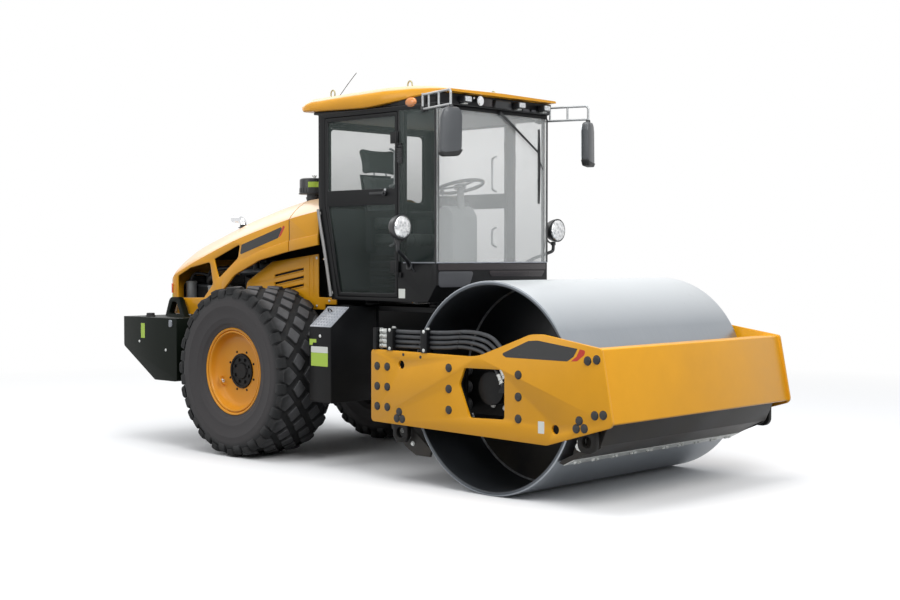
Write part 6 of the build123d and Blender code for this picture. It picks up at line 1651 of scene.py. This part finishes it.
# -------------------------------------------------------------------- lifting eyes and aerial
# Four forged eyes screwed into the roof's frame, and a whip aerial on a rubber foot.
brass = Finish("passivated_zinc", Metallic=0.85, Roughness=0.32)
cloud = brass.noise(40.0)
brass.feed(Base_Color=brass.mix(cloud, tint("8F8658"), tint("B9B08A")))
rows = []
for x in (-2.281, -1.361):
    for y in (-0.5, 0.5):
        top = between(ROOF_HIGH, x) + 0.002
        ring = [Vector((0.025 * cos(2 * pi * i / 24), 0.0, 0.033 * sin(2 * pi * i / 24))) for i in range(24)]
        rows.append((tube(ring, 0.0062, 2, 5, True), here(x, y, 3.07)))
        rows.append((turned([(0.0, 0.0), (0.02, 0.0), (0.02, 0.004), (0.01, 0.008), (0.009, 3.042 - top),
                             (0.0, 3.044 - top)], 24), here(x, y, top - 0.002)))
piece("lifting_eyes", rows, brass, "rear_frame", 45, ("roof_fittings",))
root, tip = at(-2.33, -0.419, 3.022), at(-2.077, -0.419, 3.239)
whip = [root + (tip - root) * t + Vector((0, 0, 0.006 * sin(pi * t))) for t in (0, 0.25, 0.5, 0.75, 1.0)]
rows = [tube(whip, 0.0028, 3, 4), (turned([(0.0, -0.004), (0.018, -0.004), (0.016, 0.006), (0.009, 0.016),
    (0.006, 0.04), (0.0, 0.042)], 24), facing(root + Vector((0, 0, 0.002)), tip - root))]
piece("aerial", rows, black_rubber, "rear_frame", 45)


# -------------------------------------------------------------------- mirrors
# Moulded grey shells with a black lower rim and a convex glass, clamped to ladders of bent chromed tube
# that are bolted to the front corner of the cab.
mirror_grey = moulded("mirror_shell", "3C3F42", "4D5054", 0.36, 0.15, Specular_IOR_Level=0.5,
                      Coat_Weight=0.25, Coat_Roughness=0.3)
silver = Finish("mirror_glass", Metallic=1.0, Roughness=0.03)
smear = silver.noise(9.0, 4.0)
silver.feed(Base_Color=silver.mix(smear, tint("C4CCD2"), tint("DDE4E8")))
SHELL = ((-0.072, 0.186, 0.045), (0.06, 0.186, 0.06), (0.084, 0.11, 0.05), (0.094, -0.15, 0.04),
         (0.07, -0.186, 0.04), (-0.058, -0.178, 0.04), (-0.086, -0.12, 0.05), (-0.09, 0.12, 0.06))
RIM_LINE = ((-0.088, -0.128, 0.02), (0.094, -0.15, 0.02), (0.094, -0.16, 0.02), (0.07, -0.1872, 0.04),
            (-0.058, -0.1795, 0.04), (-0.087, -0.14, 0.02))
GLASS_LINE = ((-0.062, 0.17, 0.035), (0.05, 0.17, 0.045), (0.074, 0.1, 0.05), (0.082, -0.14, 0.04),
              (0.06, -0.17, 0.04), (-0.05, -0.164, 0.04), (-0.074, -0.11, 0.05), (-0.078, 0.11, 0.05))
MIRROR_X, MIRROR_Y = -0.6, 0.83
LOWER_RUNG, UPPER_RUNG = 2.8395, 2.9495
shells, rims, glasses, ladders, clamps = [], [], [], [], []


def above(place, z):
    """A place on the ground raised to a height."""
    return place + Vector((0, 0, z))


for side in (-1, 1):
    place = here(MIRROR_X, side * MIRROR_Y, 2.632) @ Matrix.Rotation(side * radians(20), 4, "Z")
    for group, rows, low, high, edge in ((shells, SHELL, -0.034, 0.034, 0.024),
            (rims, RIM_LINE, -0.0345, 0.0345, 0.01), (glasses, GLASS_LINE, -0.0352, -0.032, 0.001)):
        group.append((plate([(side * y, z, r) for y, z, r in rows], low, high, (), edge, "yz"), place))
    root, tip = at(-1.018, side * 0.701, 0), at(MIRROR_X, side * MIRROR_Y, 0)
    run = (tip - root).normalized()
    upper = [above(root, UPPER_RUNG), above(tip - run * 0.06, UPPER_RUNG), above(tip, UPPER_RUNG),
             above(tip, 2.89), above(tip, 2.79)]
    ladders.append(tube([above(root, LOWER_RUNG), above(tip, LOWER_RUNG)], 0.0095, 2, 5))
    ladders.append(tube(upper, 0.0095, 3, 5))
    for share in (0.22, 0.58):
        foot = root + (tip - root) * share
        ladders.append(tube([above(foot, LOWER_RUNG), above(foot, UPPER_RUNG)], 0.0085, 2, 5))
    ladders.append(tube([above(root, 2.828), above(root, 2.962)], 0.011, 2, 5))
    clamps.append(sheet(oblong(-1.046, 2.826, -0.99, 2.878, 0.01), side * PILLAR_Y, side * 0.69, 0.003))
    clamps.append((turned([(0.016, -0.02), (0.018, -0.016), (0.018, 0.016), (0.016, 0.02), (0.0, 0.02)], 24),
                   Matrix.Translation(above(root, LOWER_RUNG))))
    clamps.append((lathed([(0.017, -0.03), (0.019, -0.02), (0.019, 0.022), (0.014, 0.03)], 24),
                   Matrix.Translation(above(tip, 2.806))))
piece("mirror_shells", shells, mirror_grey, "rear_frame", 40, ("mirrors",))
piece("mirror_rims", rims, black_rubber, "rear_frame", 40)
piece("mirror_glasses", glasses, silver, "rear_frame", 40)
piece("mirror_ladders", ladders, alloy, "rear_frame", 60)
piece("mirror_clamps", clamps, gloss_black, "rear_frame", 40)


# -------------------------------------------------------------------- headlamps
# Round lamps with a deep reflector behind a clear glass, in black shells on bent stalks from the doors'
# front pillars. A cable runs down each stalk into a grommet.
reflector = Finish("lamp_reflector", Metallic=0.75, Roughness=0.16)
facet = reflector.cells(38.0)
patch = reflector.noise(16.0, 4.0, 0.7)
reflector.feed(Base_Color=reflector.mix((facet * 0.7 + patch * 0.5).held(), tint("8C9094"), tint("FFFFFF")))
reflector.raise_by(reflector.cells(38.0, "DISTANCE_TO_EDGE"), 0.006, 0.9)
SHELL_ROWS = ((0.0, -0.062), (0.04, -0.06), (0.066, -0.05), (0.084, -0.03), (0.094, 0.0), (0.097, 0.022),
              (0.0985, 0.026), (0.0985, 0.04), (0.093, 0.043), (0.091, 0.036), (0.091, 0.03))
DISH_ROWS = ((0.0905, 0.034), (0.086, 0.046), (0.072, 0.053), (0.05, 0.0565), (0.026, 0.0575), (0.0, 0.058))
shells, dishes, stalks, feet, cables = [], [], [], [], []


def past(place, *steps):
    """Places given by their distances from another one."""
    return [place + Vector(step) for step in steps]


for side in (-1, 1):
    centre = at(-1.045, side * 0.935, 1.925)
    ahead = facing(centre, (1, 0, 0))
    shells.append((turned(SHELL_ROWS, 48), ahead))
    dishes.append((turned(DISH_ROWS, 48), ahead))
    foot = at(-1.185, side * 0.69, 1.622)
    stalk = past(centre, (-0.01, 0, -0.095), (-0.01, 0, -0.15), (-0.016, 0, -0.176),
                 (-0.03, -side * 0.03, -0.19))
    stalk += past(foot, (0.02, side * 0.03, 0.045), (0, 0, 0))
    stalks.append(tube(stalk, 0.014))
    stalks.append(tube(past(centre, (-0.012, 0, -0.126), (-0.012, 0, -0.098)), 0.022, 2))
    arm = past(centre, (-0.012, -side * 0.101, 0.0), (-0.012, -side * 0.101, -0.06),
               (-0.012, -side * 0.05, -0.112), (-0.012, 0, -0.112))
    stalks.append(tube(arm, 0.007, 3, 4))
    feet.append(sheet(oblong(-1.213, 1.6, -1.157, 1.644, 0.008), side * PILLAR_Y, side * 0.6945, 0.003))
    feet.append((lathed([(0.013, 0.0), (0.013, 0.01), (0.009, 0.014)], 6), facing(foot, (0, side, 0))))
    cable = past(centre, (-0.055, 0, -0.01), (-0.085, -side * 0.01, -0.03), (-0.08, -side * 0.03, -0.13),
                 (-0.06, -side * 0.09, -0.215))
    cable += past(foot, (0.055, side * 0.035, 0.04), (0.05, side * 0.012, -0.02)) + [at(-1.14, side * 0.675,
        1.585)]
    cables.append(tube(cable, 0.0045, 3, 4))
piece("headlamp_shells", shells, gloss_black, "rear_frame", 40, ("headlamps",))
piece("headlamp_glasses", dishes, reflector, "rear_frame", 60)
piece("headlamp_stalks", stalks, gloss_black, "rear_frame", 60)
piece("headlamp_feet", feet, gloss_black, "rear_frame")
piece("headlamp_cables", cables, hose_rubber, "rear_frame", 60)


# -------------------------------------------------------------------- wiper
# A twin-rod arm swings from a spindle under the fascia and carries a hinged blade with a rubber lip.
WIPE_X = CAB_FRONT + 0.016
hub = at(CAB_FRONT, 0.06, 2.854)
rows = [(turned([(0.0, 0.0), (0.016, 0.0), (0.016, 0.018), (0.012, 0.026), (0.0, 0.028)], 24),
         facing(hub, (1, 0, 0)))]
for shift in (-0.01, 0.018):
    rows.append(tube([at(WIPE_X, 0.06 + shift, 2.856), at(WIPE_X + 0.003, 0.54 + shift * 0.5, 2.56)], 0.0048,
                     2, 4))
rows.append(tube([at(WIPE_X, 0.522, 2.575), at(WIPE_X + 0.003, 0.56, 2.548), at(WIPE_X, 0.56, 2.44)], 0.0058,
                 3, 4))
rows.append(tube([at(WIPE_X, 0.548, 2.5), at(WIPE_X + 0.003, 0.58, 2.45), at(WIPE_X, 0.596, 2.428)], 0.005,
                 2, 4))
blade = [at(WIPE_X - 0.012, 0.562, 2.758), at(WIPE_X - 0.004, 0.56, 2.64), at(WIPE_X, 0.558, 2.45),
         at(WIPE_X - 0.004, 0.559, 2.26), at(WIPE_X - 0.012, 0.562, 2.142)]
rows.append(tube(blade, 0.006, 3, 4))
rows.append(across(oblong(0.5585, 2.142, 0.5625, 2.758, 0.001), CAB_FRONT, -0.0105, 0.004))
for z in (2.3, 2.6):
    rows.append(block((CAB_FRONT - 0.004, CAB_FRONT + 0.014), (0.553, 0.568), (z - 0.05, z + 0.05), 0.006,
                      0.002))
piece("wiper_arm", rows, gloss_black, "rear_frame", 50, ("wiper",))


# ==================================================================== floor, lamps and camera
# A plain pale floor under a soft sky and four round lamps. What is seen, mirrored or looked through is
# nearly white; the light that floor and sky give back is greyer, so that shadows and dark parts hold.
ground = Finish("studio_floor", Roughness=0.9, Specular_IOR_Level=0.1)
pale = ground.mix(ground.noise(0.4, 2.0) * 0.2, tint("EDEDED"), tint("E6E6E6"))
seen = ground.node("ShaderNodeLightPath", {}, {}, "Is Camera Ray")
for kind in ("Is Glossy Ray", "Is Transmission Ray"):
    seen = seen.math("MAXIMUM", seen, ground.node("ShaderNodeLightPath", {}, {}, kind))
ground.feed(Base_Color=ground.mix(seen, tint("666768"), pale))
away = ground.node("ShaderNodeVectorMath", {"operation": "LENGTH"}, {0: ground.where}, "Value").over(5.0,
    6.0)
glow = ground.node("ShaderNodeEmission", {}, {"Color": (1.0, 1.0, 1.0, 1.0), "Strength": 1.0})
paper = ground.node("ShaderNodeMixShader", {}, {0: away * seen, 1: Socket(ground, ground.shader.outputs[0]),
    2: glow})
ground.tree.links.new(paper.output, ground.tree.nodes["Material Output"].inputs["Surface"])
bm = bmesh.new()
bmesh.ops.create_grid(bm, x_segments=2, y_segments=2, size=60)
floor = bpy.data.objects.new("floor", mesh_of(bm))
floor.data.materials.append(ground.material)
bpy.context.scene.collection.objects.link(floor)

world = bpy.data.worlds.new("studio")
world.use_nodes = True
bpy.context.scene.world = world
nodes = world.node_tree.nodes


def wired(kind, settings, *links):
    """A node of the studio's light, its settings and its links as (output, socket)."""
    node = kind if isinstance(kind, bpy.types.Node) else nodes.new(kind)
    for name, value in settings.items():
        if name in node.inputs:
            node.inputs[name].default_value = value
        else:
            setattr(node, name, value)
    for output, socket in links:
        world.node_tree.links.new(output, node.inputs[socket])
    return node


path = wired("ShaderNodeLightPath", {})
height = wired("ShaderNodeSeparateXYZ", {}, (wired("ShaderNodeTexCoord", {}).outputs["Generated"], 0))
overhead = wired("ShaderNodeMapRange", {"interpolation_type": "SMOOTHSTEP", "From Min": -0.1,
    "From Max": 0.9, "To Min": 0.1, "To Max": 1.1}, (height.outputs["Z"], "Value"))
sky = wired(nodes["Background"], {"Color": (0.95, 0.97, 1.0, 1.0)}, (overhead.outputs["Result"], "Strength"))
white = wired("ShaderNodeBackground", {"Color": (1.0, 1.0, 1.0, 1.0), "Strength": 1.0})
either = path.outputs["Is Camera Ray"]
for kind in ("Is Glossy Ray", "Is Transmission Ray"):
    either = wired("ShaderNodeMath", {"operation": "MAXIMUM"}, (either, 0),
                   (path.outputs[kind], 1)).outputs[0]
shares = wired("ShaderNodeMixShader", {}, (either, 0), (sky.outputs[0], 1), (white.outputs[0], 2))
wired(nodes["World Output"], {}, (shares.outputs[0], "Surface"))


def lamp(name, place, target, size, power):
    """A round soft lamp that looks at a target: its width in metres and its power in watts."""
    light = bpy.data.lights.new(name, "AREA")
    light.shape, light.size, light.energy = "DISK", size, power
    obj = bpy.data.objects.new(name, light)
    obj.location = place
    obj.rotation_euler = (Vector(target) - Vector(place)).to_track_quat("-Z", "Y").to_euler()
    bpy.context.scene.collection.objects.link(obj)


lamp("key", (7.5, -3.8, 7.0), (0.5, 0, 1.0), 4.5, 430)
lamp("top", (0.6, -0.8, 10.0), (0.6, 0, 1.0), 6.0, 340)
lamp("fill", (-3.0, -9.0, 5.0), (0, 0, 1.2), 5.0, 135)
lamp("rim", (-8.4, 0.5, 6.6), (-1.6, 0, 1.9), 5.0, 120)

camera = bpy.data.objects.new("camera", bpy.data.cameras.new("camera"))
camera.data.sensor_width, camera.data.lens = 36.0, 56.54
camera.location = (8.3995, -8.511, 1.697)
camera.rotation_euler = (radians(88.26), 0, radians(43.47))
bpy.context.scene.collection.objects.link(camera)
bpy.context.scene.camera = camera
bpy.context.scene.view_settings.view_transform = "Standard"
